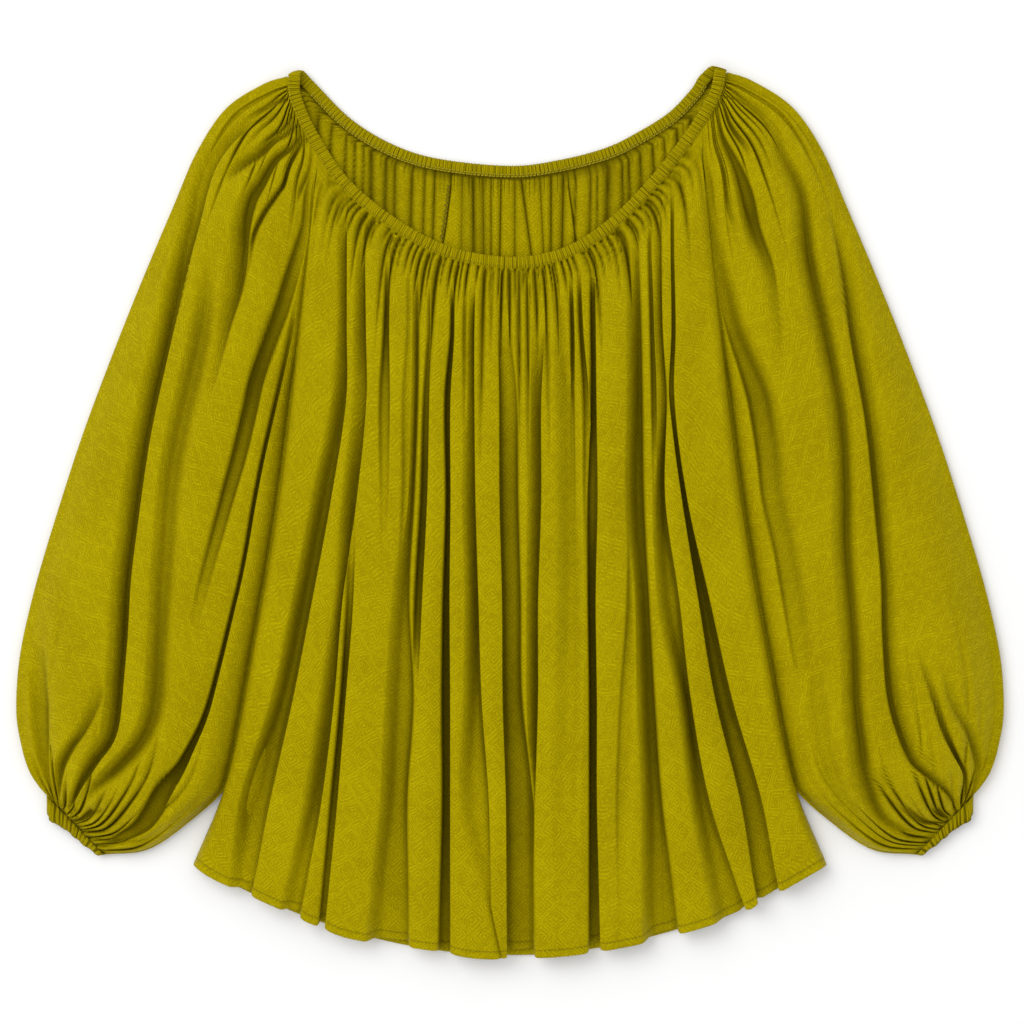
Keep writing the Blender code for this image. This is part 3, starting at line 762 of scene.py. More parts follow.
@dataclass(frozen=True)
class ThreadFinish:
    """Sewing thread: a twisted ply, a shade off the cloth.

    Attributes:
        name: The finish's name.
        colour: The thread's colour.
        shade: Its colour between plies, a painted shade.
        pitch: Distance from one ply to the next, in millimetres.
    """

    name: str
    colour: tuple
    shade: tuple
    pitch: float = 0.6

    def build(self) -> bpy.types.Material:
        """Makes the material.

        Returns:
            The material.
        """
        bench = Bench(self.name)
        place = bench.node("ShaderNodeTexCoord", {}, {}, "Object")
        x, y = bench.split(place)
        ply = ((x + y) / (self.pitch * MM)).wave()
        fuzz = bench.noise(place, 3000.0)
        # The plies' troughs are darkened towards the shade colour: painted shade.
        inputs = {
            "Base Color": bench.blend(ply * 0.3 + fuzz * 0.6 + 0.2, self.shade, self.colour),
            "Roughness": 0.6 + fuzz * 0.1,
            "Specular IOR Level": 0.3,
            "Normal": bench.bump(ply, 0.4, 0.0001),
        }
        return bench.finish(inputs)


@dataclass(frozen=True)
class Wardrobe:
    """Every material of the blouse.

    Attributes:
        body: Cloth of the front and the back.
        left: Cloth of the left sleeve, which hangs on the bias.
        right: Cloth of the right sleeve, the other way.
        casing: Ruched cloth of the neck and the cuffs.
        thread: Thread of the hem and the neck.
        cover: Paler thread inside the neck.
        overlock: Darker thread on the raglan seam.
    """

    body: bpy.types.Material
    left: bpy.types.Material
    right: bpy.types.Material
    casing: bpy.types.Material
    thread: bpy.types.Material
    cover: bpy.types.Material
    overlock: bpy.types.Material


# ---------------------------------------------------------------- stitches


@dataclass
class StitchRow:
    """A row of stitches, each a short rounded length of thread.

    Attributes:
        name: The piece's name.
        length: A stitch's length, in millimetres.
        width: A thread's width.
        every: Distance from one stitch to the next.
    """

    name: str
    length: float = 2.0
    width: float = 0.5
    every: float = 2.9

    def build(self, paths: Sequence[np.ndarray], tilt: float = 0.0) -> bpy.types.Object:
        """Sews along paths.

        Args:
            paths: Lines of points in millimetres.
            tilt: Turn of each stitch from its path, alternately to each side, in degrees.

        Returns:
            One piece with every stitch.
        """
        thread = bmesh.new()
        for path in paths:
            step = np.linalg.norm(np.diff(path, axis=0), axis=1)
            run = np.concatenate([[0.0], step.cumsum()])
            for n in range(int(run[-1] / self.every)):
                middle = (n + 0.5) * self.every
                ends = [
                    Vector([np.interp(middle + side * self.length / 2, run, path[:, a]) for a in range(3)])
                    for side in (-1, 1)
                ]
                along = (ends[1] - ends[0]).normalized()
                turn = Matrix.Rotation(math.radians(tilt * (-1) ** n), 4, "Z")
                place = Matrix.Translation((ends[0] + ends[1]) / 2 * MM) @ turn
                place = place @ along.to_track_quat("X", "Z").to_matrix().to_4x4()
                size = Matrix.Diagonal([self.length / 2 * MM, self.width / 2 * MM, self.width / 2 * MM, 1.0])
                bmesh.ops.create_uvsphere(
                    thread, u_segments=6, v_segments=4, radius=1.0, matrix=place @ size
                )
        mesh = bpy.data.meshes.new(self.name)
        thread.to_mesh(mesh)
        thread.free()
        return link(self.name, mesh)


# ---------------------------------------------------------------- front


# Where the rows of the front's valleys lie: their y, from the top down
FRONT_LEVELS = (205, 145, 90, 10, -70, -150, -230, -295)
FRONT_VALLEYS = (
    front_valley(
        145, Turn.ROUND, Turn.CRISP, 5, (-134.5, -130.5, 9), (-138, -130.5, 13), (-153.5, -142.5, 17),
        (-169, -157.5, 19), (-186, -173, 19), (-211, -191, 18), (-219, -204, 8),
    ),
    front_valley(
        205, Turn.ROUND, Turn.CRISP, 7, (-120, -116, 7), (-120.5, -115, 12), (-121, -114.5, 8),
        (-129.5, -122, 14), (-137, -133.5, 9), (-147.5, -140, 13), (-159.5, -150, 14), (-174, -162, 9),
    ),
    front_valley(
        10, Turn.FIRM, Turn.CRISP, 7, (-126, -123, 0), (-130, -125, 7), (-135.5, -131, 12),
        (-143, -137.5, 11), (-149, -144, 10),
    ),
    front_valley(
        205, Turn.FIRM, Turn.CRISP, 0, (-99, -96, 6), (-101, -96.5, 10), (-104, -96, 7), (-103, -97, 2),
        (-103, -99, 0),
    ),
    front_valley(
        145, Turn.FIRM, Turn.FIRM, 0, (-82, -78, 4), (-85.5, -80, 4), (-86, -81, 5), (-90, -86, 0),
    ),
    front_valley(
        205, Turn.ROUND, Turn.FIRM, 7, (-76, -73, 8), (-76, -73, 11), (-76.5, -73.5, 11),
        (-80, -76.5, 12), (-89, -80.5, 12), (-94.5, -77, 14), (-98.5, -82, 16), (-105.5, -81.5, 13),
    ),
    front_valley(
        145, Turn.FIRM, Turn.CRISP, 0, (-65.5, -63.5, 6), (-69, -64.5, 8), (-71.5, -66, 12),
        (-76, -70, 12), (-77, -74, 0),
    ),
    front_valley(
        205, Turn.FIRM, Turn.CRISP, 2, (-48, -45.5, 6), (-47.5, -44.5, 11), (-52, -47.5, 14),
        (-51, -47.5, 15), (-53.5, -48, 18), (-54.5, -47.5, 18), (-54, -47.5, 16), (-55.5, -47.5, 18),
    ),
    front_valley(
        205, Turn.FIRM, Turn.FIRM, 0, (-35.5, -33.5, 5), (-37.5, -35, 6), (-37, -34, 3), (-37, -34, 0),
    ),
    front_valley(
        205, Turn.ROUND, Turn.CRISP, 0, (-29, -27, 7), (-31.5, -28.5, 10), (-32, -28.5, 9),
        (-33.5, -27.5, 12), (-31, -25, 15), (-32.5, -22.5, 14), (-35, -17, 8), (-21, -15.5, 4),
    ),
    front_valley(
        205, Turn.CRISP, Turn.FIRM, 11, (-6, -2, 4), (-9, 0, 6), (-8.5, 5.5, 10), (-8.5, 6.5, 15),
        (-6.5, 8.5, 15), (-6, 9.5, 18), (-3.5, 18, 18), (-3, 18.5, 17),
    ),
    front_valley(
        145, Turn.ROUND, Turn.CRISP, 0, (17.5, 28, 5), (18, 25, 11), (18.5, 25, 12), (17, 22.5, 12),
        (17, 22.5, 14), (16, 20, 9), (14, 19, 0),
    ),
    front_valley(
        205, Turn.ROUND, Turn.SOFT, 0, (39, 41.5, 6), (39.5, 43, 7), (41, 52, 7), (42, 54, 8),
        (42, 57, 7), (40, 58, 5), (37, 56, 3), (37, 58, 1),
    ),
    front_valley(
        205, Turn.FIRM, Turn.CRISP, 0, (46.5, 49, 7), (48.5, 51.5, 9), (48.5, 51.5, 7), (49, 52, 2),
        (49, 52, 0),
    ),
    front_valley(
        205, Turn.FIRM, Turn.CRISP, 0, (53.5, 56, 7), (55.5, 58.5, 9), (58.5, 63, 8), (59, 63, 5),
        (60, 63, 0),
    ),
    front_valley(
        205, Turn.FIRM, Turn.CRISP, 10, (64, 68, 9), (64.5, 68.5, 13), (65, 69, 15), (62, 70, 14),
        (62.5, 68.5, 19), (63.5, 69.5, 20), (63.5, 69.5, 18), (63.5, 71, 19),
    ),
    front_valley(
        10, Turn.FIRM, Turn.SOFT, 0, (94, 101, 0), (93.5, 101, 7), (88, 99, 5), (85, 95, 4), (86, 96, 1),
    ),
    front_valley(
        205, Turn.ROUND, Turn.FIRM, 8, (98, 103, 8), (98, 105, 13), (98, 106, 17), (97, 107, 18),
        (102.5, 111, 18), (106, 115.5, 19), (109.5, 121, 19), (110, 129, 16),
    ),
    front_valley(
        205, Turn.FIRM, Turn.CRISP, 0, (110.5, 113, 5), (112, 115.5, 8), (113, 117, 7), (114, 117, 2),
        (116, 118, 0),
    ),
    front_valley(
        205, Turn.ROUND, Turn.CRISP, 3, (118, 121, 7), (118.5, 122, 9), (121.5, 125, 8), (118.5, 124, 16),
        (122, 135, 13), (138, 144.5, 18), (148, 159, 17), (161, 180, 12),
    ),
    front_valley(
        205, Turn.CRISP, Turn.CRISP, 5, (128.5, 131, 5), (129, 132.2, 7), (127.5, 131, 7),
        (137, 141.5, 15), (150, 159.5, 20), (163.5, 177.5, 19), (183.5, 201, 17), (194.5, 213, 12),
    ),
)

# Gathers below the casing that fade out within the front: x at the casing, depth, length, width of
# the crease
FRONT_GATHERS = (
    (-146, 4, 26, 1.8), (-139, 5, 34, 1.8), (-128, 4, 24, 1.5), (-112, 3.5, 30, 1.6),
    (-106, 4.5, 36, 1.8), (-92, 3.5, 44, 1.8), (-86, 4, 60, 1.8), (-68, 3.5, 30, 1.6), (-63, 5, 40, 1.8),
    (-54, 5, 52, 2), (-40, 3.5, 32, 1.6), (-19, 5, 60, 2), (-13, 3.5, 30, 1.6), (-6, 4, 90, 1.8),
    (0, 4, 70, 2), (6.5, 4.5, 80, 2), (12.5, 4.5, 85, 2), (19, 4.5, 70, 2), (25.5, 4, 60, 2),
    (33, 4, 46, 1.8), (61, 4.5, 40, 1.6), (76, 3.5, 22, 1.6), (83, 6, 46, 2.2), (91, 3.5, 24, 1.6),
    (106, 5, 30, 1.8), (125, 5, 30, 1.5), (138, 4, 26, 1.6), (145, 4, 30, 1.8),
)


@dataclass(frozen=True)
class FrontPanel:
    """The front: gathered on the neck casing, in long folds that open towards the hem.

    Attributes:
        columns: How many columns of points it has.
        rows: How many rows.
        shoulder: How far towards the neck its side edges begin.
        corner: How far they end.
        sleeve_end: How far down the sleeves lie under its sides.
        hem: The hem's line, rows of x and y.
        crown: Height and share of the valleys' depth, by the share of the way down.
        length: Its length from the casing to the hem.
        hem_turn: Height of the turned-up hem.
        tuck: How far it runs in under the casing.
        pitch: Distance between the gathers at the casing.
    """

    columns: int = 590
    rows: int = 83
    shoulder: float = 281.0
    corner: float = -284.0
    sleeve_end: float = -224.0
    hem: Rows = (
        (-254.4, -282.8), (-241, -292), (-222, -301), (-192, -314), (-160, -329), (-128, -341),
        (-64, -350.5), (-25, -357), (40, -355.5), (94, -347.5), (152, -333), (188, -319.5), (225, -299),
        (254.0, -282.8),
    )
    crown: Rows = (
        (0.00, 10.2, 0.05), (0.02, 12.6, 0.45), (0.06, 16.5, 0.75), (0.12, 20.0, 0.90),
        (0.30, 24.5, 1.00), (0.60, 26.0, 1.00), (0.85, 25.0, 1.00), (1.00, 20.5, 0.90),
    )
    length: float = 560.0
    hem_turn: float = 6.6
    tuck: float = 1.0
    pitch: float = 5.1

    def side(self, share: np.ndarray, side: int) -> np.ndarray:
        """The x of a side edge, a share of the way down.

        Args:
            share: The share.
            side: -1 for the left edge and 1 for the right one.

        Returns:
            The x.
        """
        station = station_at_x(NECK_FRONT, side * half_width(self.shoulder))
        top = neck_edge(NECK_FRONT, station, 0.4)
        y = mix(top[1], self.corner, share)
        return mix(top[0], side * half_width(y), ease(0.0, 0.05, share))

    def neck_y(self, across: np.ndarray) -> np.ndarray:
        """The y of the casing's seam, a share of the way across.

        Args:
            across: The share.

        Returns:
            The y.
        """
        left, right = self.side(np.zeros(1), -1)[0], self.side(np.zeros(1), 1)[0]
        station = station_at_x(NECK_FRONT, mix(left, right, across))
        return neck_edge(NECK_FRONT, station, -self.tuck)[..., 1]

    def shape(self, shares: np.ndarray) -> tuple[np.ndarray, np.ndarray]:
        """Works out the front's points.

        Args:
            shares: How far down each row lies, from 0 to 1.

        Returns:
            Rows by columns of points, from the neck down, and the painted shade of each one.
        """
        share = shares[:, None]
        left, right = self.side(share, -1), self.side(share, 1)
        across = np.linspace(0.0, 1.0, 1400)[None, :]
        x = mix(left, right, across)
        y = self.place(across, share)
        x = crowd(x, y, FRONT_VALLEYS, self.columns)
        across = (x - left) / (right - left)
        y = self.place(across, share)
        height, deep = np.moveaxis(smooth(self.crown, share), -1, 0)
        drop, slide, rise, shade, corner = np.zeros((5, *x.shape))
        for valley in FRONT_VALLEYS:
            shade = np.maximum(shade, valley.brink(x, y, 0.9))
            corner = np.maximum(corner, valley.brink(x, y, 2.6))
            depth_and_painted_shade, slid, floor = valley.sink(x, y)
            drop, slide = np.maximum(drop, depth_and_painted_shade) + 0.25 * np.minimum(drop, depth_and_painted_shade), slide + slid
            rise += 0.6 * valley.lift * floor
        below = self.place(across, np.zeros_like(share)) - y
        drop = drop * deep * ease(2.0, 45.0, below)
        drop = self.gathered(drop, x, below, height)
        z = height - drop + 0.9 * wander(x, y, 0.4) * ease(5.0, 60.0, below)
        over_back = ease(-34.0, -25.0, np.abs(x) - half_width(y)) * ease(-288.0, -262.0, y)
        low = mix(LOWEST, 8.0, over_back)
        z = np.maximum(z, low + 0.3 * wander(x, y, 1.9))
        inward = np.minimum(x - left, right - x)
        z = self.edged(z, share, inward)
        x = x + slide * deep
        y = y + rise * share**3 + 2.2 * corner * ease(0.965, 1.0, share)
        fall = self.place(across, np.zeros_like(share)) - self.place(across, np.ones_like(share))
        from_hem = (1.0 - share) * fall
        seam = from_hem - self.hem_turn + 0.6
        z = z + 0.5 * (1.0 - ease(self.hem_turn - 0.4, self.hem_turn + 0.6, from_hem))
        z = z - 0.45 * bell(seam, 0.7) - 0.4 * bell(from_hem, 0.6)
        # Painted shade, from 0 to 1: darker in the valleys and the gathers, along the valleys' crisp edges
        # and along the hem's stitch line; less at the side edges and towards the hem.
        depth_and_painted_shade = 0.55 * np.clip((drop - 2.5) / (height - LOWEST), 0.0, 1.0) + hollow(x, z, 3.5) / 4.2
        depth_and_painted_shade = depth_and_painted_shade + 0.4 * shade * ease(2.0, 45.0, below)
        depth_and_painted_shade = np.clip(depth_and_painted_shade, 0.0, 1.0) * ease(4.0, 14.0, inward) * (1.0 - 0.4 * ease(0.75, 1.0, share))
        return np.stack([x, y, z], -1), np.clip(depth_and_painted_shade + 0.4 * bell(seam, 0.6), 0.0, 1.0)

    def gathered(
        self, drop: np.ndarray, x: np.ndarray, below: np.ndarray, height: np.ndarray
    ) -> np.ndarray:
        """Adds the gathers at the casing.

        Args:
            drop: How far each point drops in the valleys.
            x: The points' x.
            below: How far below the casing they lie.
            height: The rows' height.

        Returns:
            How far each point drops in all.
        """
        _, away = seam_point(NECK_FRONT, station_at_x(NECK_FRONT, x))
        turning = 15.0 * (1.0 - np.exp(-np.maximum(below, 0.0) / 15.0))
        neck_x = x / (1.0 + 0.00064 * below) + away[..., 0] * turning
        for place, depth, length, width in FRONT_GATHERS:
            groove = np.exp(-np.abs(neck_x - place) / (0.75 * width)) * bell(below, 1.8 * length)
            drop = np.maximum(drop, 2.4 * depth * groove * ease(0.0, 6.0, below))
        reach = 15.0 + 13.0 * np.sin(neck_x / 7.7) ** 2 + 14.0 * np.sin(neck_x / 23.0 + 1.0) ** 2
        gap = (1.0 - tubes(neck_x, self.pitch, 0.7)) * np.minimum(height - 4.6, 9.0) * bell(below, reach)
        return np.maximum(drop, gap * ease(0.0, 1.5, below)) + 0.2 * np.minimum(drop, gap)

    def edged(self, z: np.ndarray, share: np.ndarray, inward: np.ndarray) -> np.ndarray:
        """Rounds the cloth off to its side edges, which lie on the sleeves and lower down on the back.

        Args:
            z: The points' heights.
            share: How far down each row lies.
            inward: How far in from the nearer edge each point lies.

        Returns:
            The new heights.
        """
        edge_y = mix(self.shoulder, self.corner, share)
        on_sleeve = ease(self.sleeve_end - 28.0, self.sleeve_end, edge_y)
        border = 2.8 + mix(5.1, 6.6, ease(55.0, 110.0, edge_y)) * on_sleeve
        border = mix(10.0, border, ease(0.0, 0.035, share))
        low = z - 5.0 * bell(inward, 38.0) * ease(0.03, 0.2, share)
        roll = np.sqrt(np.maximum(1.0 - (1.0 - np.minimum(inward / 7.0, 1.0)) ** 2, 0.0))
        return mix(border, np.maximum(low, border * (1.0 - ease(7.0, 16.0, inward))), roll)

    def place(self, across: np.ndarray, share: np.ndarray) -> np.ndarray:
        """The y of points a share of the way across and down."""
        bottom = smooth(self.hem, mix(self.hem[0][0], self.hem[-1][0], across))[..., 0]
        return mix(self.neck_y(across), bottom, share)

    def build(self, wardrobe: Wardrobe) -> None:
        """Makes the front and its hem stitches.

        Args:
            wardrobe: The finishes.
        """
        top = 0.16 * np.linspace(0.0, 1.0, self.rows // 3) ** 1.5
        low = 1.0 - np.array([9.0, 7.4, 6.9, 6.4, 6.0, 5.5, 3.5, 1.4, 0.6, 0.0]) / self.length
        middle = np.linspace(0.16, 1.0 - 12.0 / self.length, self.rows - len(top) - len(low))
        points, depth_and_painted_shade = self.shape(np.concatenate([top[:-1], middle, low]))
        piece = weave_sheet("front_cloth", points[::-1], chart(points)[::-1], depth_and_painted_shade[::-1])
        give_wall(piece)
        dress(piece, wardrobe.body, "blouse_cloth", "front_panel")
        path = self.shape(np.array([1.0 - (self.hem_turn - 0.6) / self.length, 1.0]))[0][0]
        path[:, 2] += 0.1
        stitches = StitchRow("hem_stitches").build([path[2:-2]])
        dress(stitches, wardrobe.thread, "blouse_cloth")


# ---------------------------------------------------------------- back


@dataclass(frozen=True)
class BackPanel:
    """The back, flat on the surface, with pleats below its casing, which show inside the neck.

    Attributes:
        columns: How many columns of points it has.
        rows: How many rows.
        tuck: How far it runs in under the casing.
        raglan: Its edge along the right sleeve: station, x, y.
        side_seam: Its edge below the sleeve: station, x, y.
    """

    columns: int = 260
    rows: int = 150
    tuck: float = 1.4
    raglan: Rows = (
        (0, 46.0, 267.5), (1, 48.8, 245.0), (2, 53.0, 217.0), (3, 62.0, 186.0), (4, 82.0, 153.0),
        (5, 118.0, 118.0), (6, 167.5, 88.5),
    )
    side_seam: Rows = (
        (6, 167.5, 88.5), (7, 177.8, 50.0), (8, 186.0, -10.0), (9, 202.0, -100.0), (10, 217.5, -182.0),
        (11, 229.2, -230.0), (12, 243.2, -261.5), (13, 252.5, -282.5),
    )

    def shape(self) -> tuple[np.ndarray, np.ndarray]:
        """Works out the back's points.

        Returns:
            Rows by columns of points, from the neck down and left to right, and the painted shade of each
            one.
        """
        near_neck = self.rows // 2
        station = [np.linspace(0.0, 3.5, near_neck), np.linspace(3.6, 13.0, self.rows - near_neck)]
        station = np.concatenate(station)
        on_raglan = smooth(self.raglan, np.minimum(station, 6.0))
        on_side = smooth(self.side_seam, np.maximum(station, 6.0))
        half, side_y = np.where((station < 6.0)[:, None], on_raglan, on_side).T[..., None]
        station = station[:, None]
        across = np.linspace(-1.0, 1.0, self.columns)[None, :]
        x = half * across
        sag = 73.5 * (1.0 - ease(-284.0, 150.0, side_y))
        y = side_y - sag * (1.0 - across**2)
        keep = 1.0 - ease(0.0, 2.0, station)
        seam = neck_edge(NECK_BACK, station_at_x(NECK_BACK, x), -self.tuck)[..., 1]
        corner = station_at_x(NECK_BACK, half * np.sign(across))
        corner = neck_edge(NECK_BACK, corner, -self.tuck)[..., 1]
        y = mix(y + (seam - corner) * keep, seam, 1.0 - ease(0.0, 0.4, station))
        below = seam - y
        inward = half - np.abs(x)
        lift = ease(88.0, 72.0, side_y) * ease(-252.0, -224.0, side_y)
        z = 5.5 * lift * (1.0 - ease(15.0, 26.0, inward))
        open_neck = bell(np.maximum(below, 0.0), 130.0)
        hidden = 1.1 * tubes(x * (1.0 - 0.001 * below), 13.0, 1.1)
        hidden = hidden + 0.9 * np.maximum(wander(x, y, 5.0), 0.0)
        under = hidden * ease(20.0, 60.0, below) * ease(0.0, 20.0, inward)
        shown = neck_folds(x, y) * ease(-0.6, 1.2, inward)
        z = z + np.maximum(under, shown * open_neck)
        z = mix(0.9, z, ease(0.0, 3.0, below)) + 0.0 * x
        into = y - neck_edge(NECK_FRONT, station_at_x(NECK_FRONT, x), 0.3)[..., 1]
        # Painted shade inside the neck: a little everywhere, more in the pleats and just below the casing,
        # none under the front.
        depth_and_painted_shade = 0.08 + np.clip((4.3 - shown) / 2.8, 0.0, 1.0) + 0.3 * bell(below, 12.0)
        depth_and_painted_shade = np.clip(depth_and_painted_shade, 0.0, 1.0) * ease(-12.0, 4.0, into)
        return np.stack([x, y + 0.0 * x, np.maximum(z, 0.0)], -1), depth_and_painted_shade

    def build(self, wardrobe: Wardrobe) -> None:
        """Makes the back and the overlock stitches on the seam that shows inside the neck.

        Args:
            wardrobe: The finishes.
        """
        points, depth_and_painted_shade = self.shape()
        turned = (slice(None, None, -1), slice(None, None, -1))
        piece = weave_sheet("back_cloth", points[turned], chart(points)[turned], depth_and_painted_shade[turned])
        give_wall(piece)
        dress(piece, wardrobe.body, "blouse_cloth", "back_panel")
        seam = smooth(self.raglan, np.linspace(0.25, 2.0, 30)) * (-1.0, 1.0) + (-2.4, 0.0)
        edging = StitchRow("raglan_overlock_stitches", 3.6, 0.7, 2.1)
        edging = edging.build([np.pad(seam, ((0, 0), (0, 1)), constant_values=6.9)], 52.0)
        dress(edging, wardrobe.overlock, "blouse_cloth")


# ---------------------------------------------------------------- sleeves


@dataclass(frozen=True)
class Crease:
    """A crease of a sleeve.

    Attributes:
        points: Its points, rows of x, y, width and depth.
        near: How the cloth turns at its side by the outer fold.
        far: How it turns at its other side.
    """

    points: Rows
    near: Turn
    far: Turn


def crease(near: Turn, far: Turn, *points: Sequence[float]) -> Crease:
    """A crease of a sleeve, its turns written before its points; they are the Crease's own."""
    return Crease(points, near, far)


LEFT_CREASES = (
    crease(
        Turn.FIRM, Turn.FIRM, (-158, 287, 3, 4), (-160, 263, 4, 6), (-163, 233, 6, 8),
        (-166, 219.6, 8, 10), (-173, 193, 11, 12), (-182, 163.6, 12, 13), (-192, 137, 12, 13),
        (-202, 107.6, 12, 13), (-209, 77, 12, 11), (-217.5, 41, 12, 9), (-226.5, 9, 11, 7),
        (-236, -25, 10, 5), (-244, -58, 9, 3), (-251, -92, 8, 0),
    ),
    crease(
        Turn.FIRM, Turn.CRISP, (-170.5, 169, 2, 0), (-175, 145, 3, 9), (-187, 89, 3, 10),
        (-204, 9, 3, 10), (-219, -71, 3, 9), (-239, -151, 4, 11), (-259, -199, 8, 15),
        (-275, -221, 15, 15), (-291, -247, 15, 12), (-312, -261, 8, 7), (-324, -267.5, 3, 4),
    ),
    crease(
        Turn.BROAD, Turn.CRISP, (-190, 321, 5, 2), (-207, 311, 6, 3), (-226.5, 296, 8, 5),
        (-240, 277, 9, 7), (-247, 253, 9, 9), (-253, 229, 9, 10), (-261, 201, 9, 11), (-273, 145, 9, 11),
        (-285, 91.6, 9, 11), (-297, 25, 9, 11), (-305, -39, 9, 12), (-309, -103, 9, 14),
        (-313, -151, 9, 13), (-318, -179, 9, 12), (-331, -199, 8, 12), (-343, -219, 5, 9),
        (-350.5, -233, 3, 5),
    ),
    crease(
        Turn.SOFT, Turn.FIRM, (-325.5, -135, 6, 0), (-328, -151, 6, 4), (-341, -176.5, 6, 6),
        (-350.5, -189, 6, 8), (-358.5, -205, 6, 9), (-361.5, -229, 2.5, 5),
    ),
    crease(
        Turn.SOFT, Turn.SOFT, (-240, 205, 12, 0), (-245.5, 145, 14, 7), (-257.5, 89, 14, 7),
        (-270, 25, 14, 7), (-275, -39, 14, 7), (-279, -103, 12, 8), (-282, -151, 12, 9),
        (-291, -179.5, 12, 10), (-311, -203, 11, 10), (-332, -221, 7, 7), (-345.5, -235.5, 3, 4),
    ),
    crease(
        Turn.BROAD, Turn.FIRM, (-166, 301, 2.5, 6), (-184, 285, 4, 10), (-197, 265, 6, 12),
        (-206, 250, 8, 13), (-212.5, 225, 9, 12), (-215, 201, 10, 10), (-220, 175, 10, 8),
        (-229, 145, 10, 6), (-238, 110, 10, 3), (-246, 80, 8, 0),
    ),
    crease(
        Turn.FIRM, Turn.FIRM, (-161, 298, 2, 6), (-171, 287.6, 2.5, 9), (-180, 264, 3, 9),
        (-189, 250, 3, 8), (-198, 236, 3.5, 7), (-204, 222, 3.5, 6), (-208, 204, 3, 5), (-212, 184, 3, 3),
        (-217, 160, 3, 0),
    ),
    crease(
        Turn.SOFT, Turn.FIRM, (-164, 309, 2.5, 6), (-184, 300, 3.5, 9), (-199, 287, 5, 8),
        (-216, 277, 7, 5), (-229, 268, 8, 0),
    ),
    crease(Turn.FIRM, Turn.FIRM, (-176, 334, 2.5, 4), (-196, 323, 3, 5), (-213, 309, 5, 0)),
    crease(Turn.FIRM, Turn.FIRM, (-173, 316, 2.5, 4), (-190, 301, 3, 5), (-204, 284, 5, 0)),
    crease(Turn.FIRM, Turn.FIRM, (-159, 285, 2.5, 5), (-166, 261, 3, 6), (-172, 240, 4, 0)),
    crease(
        Turn.SOFT, Turn.FIRM, (-379, -95, 10, 0), (-377, -119, 12, 4), (-375, -151, 13, 7),
        (-374, -173, 12, 8), (-373, -198.5, 8, 9), (-371, -207, 5, 8), (-366.5, -224.5, 2.5, 5),
    ),
    crease(Turn.FIRM, Turn.FIRM, (-384, -187, 3, 0), (-378, -208, 3, 4), (-371, -224, 2.5, 4)),
    crease(Turn.FIRM, Turn.FIRM, (-352, -236, 2.5, 4), (-341, -212, 4, 5), (-324, -179, 6, 0)),
    crease(Turn.FIRM, Turn.FIRM, (-347, -248, 2.5, 5), (-334, -240, 6, 7), (-322, -236, 6, 0)),
    crease(Turn.FIRM, Turn.FIRM, (-338, -258, 2.5, 5), (-326, -255, 3, 5), (-312, -251, 3, 0)),
    crease(
        Turn.FIRM, Turn.FIRM, (-332, -264, 2.5, 4), (-308, -265, 5, 5), (-288, -260, 6, 4),
        (-270, -247, 6, 0),
    ),
)

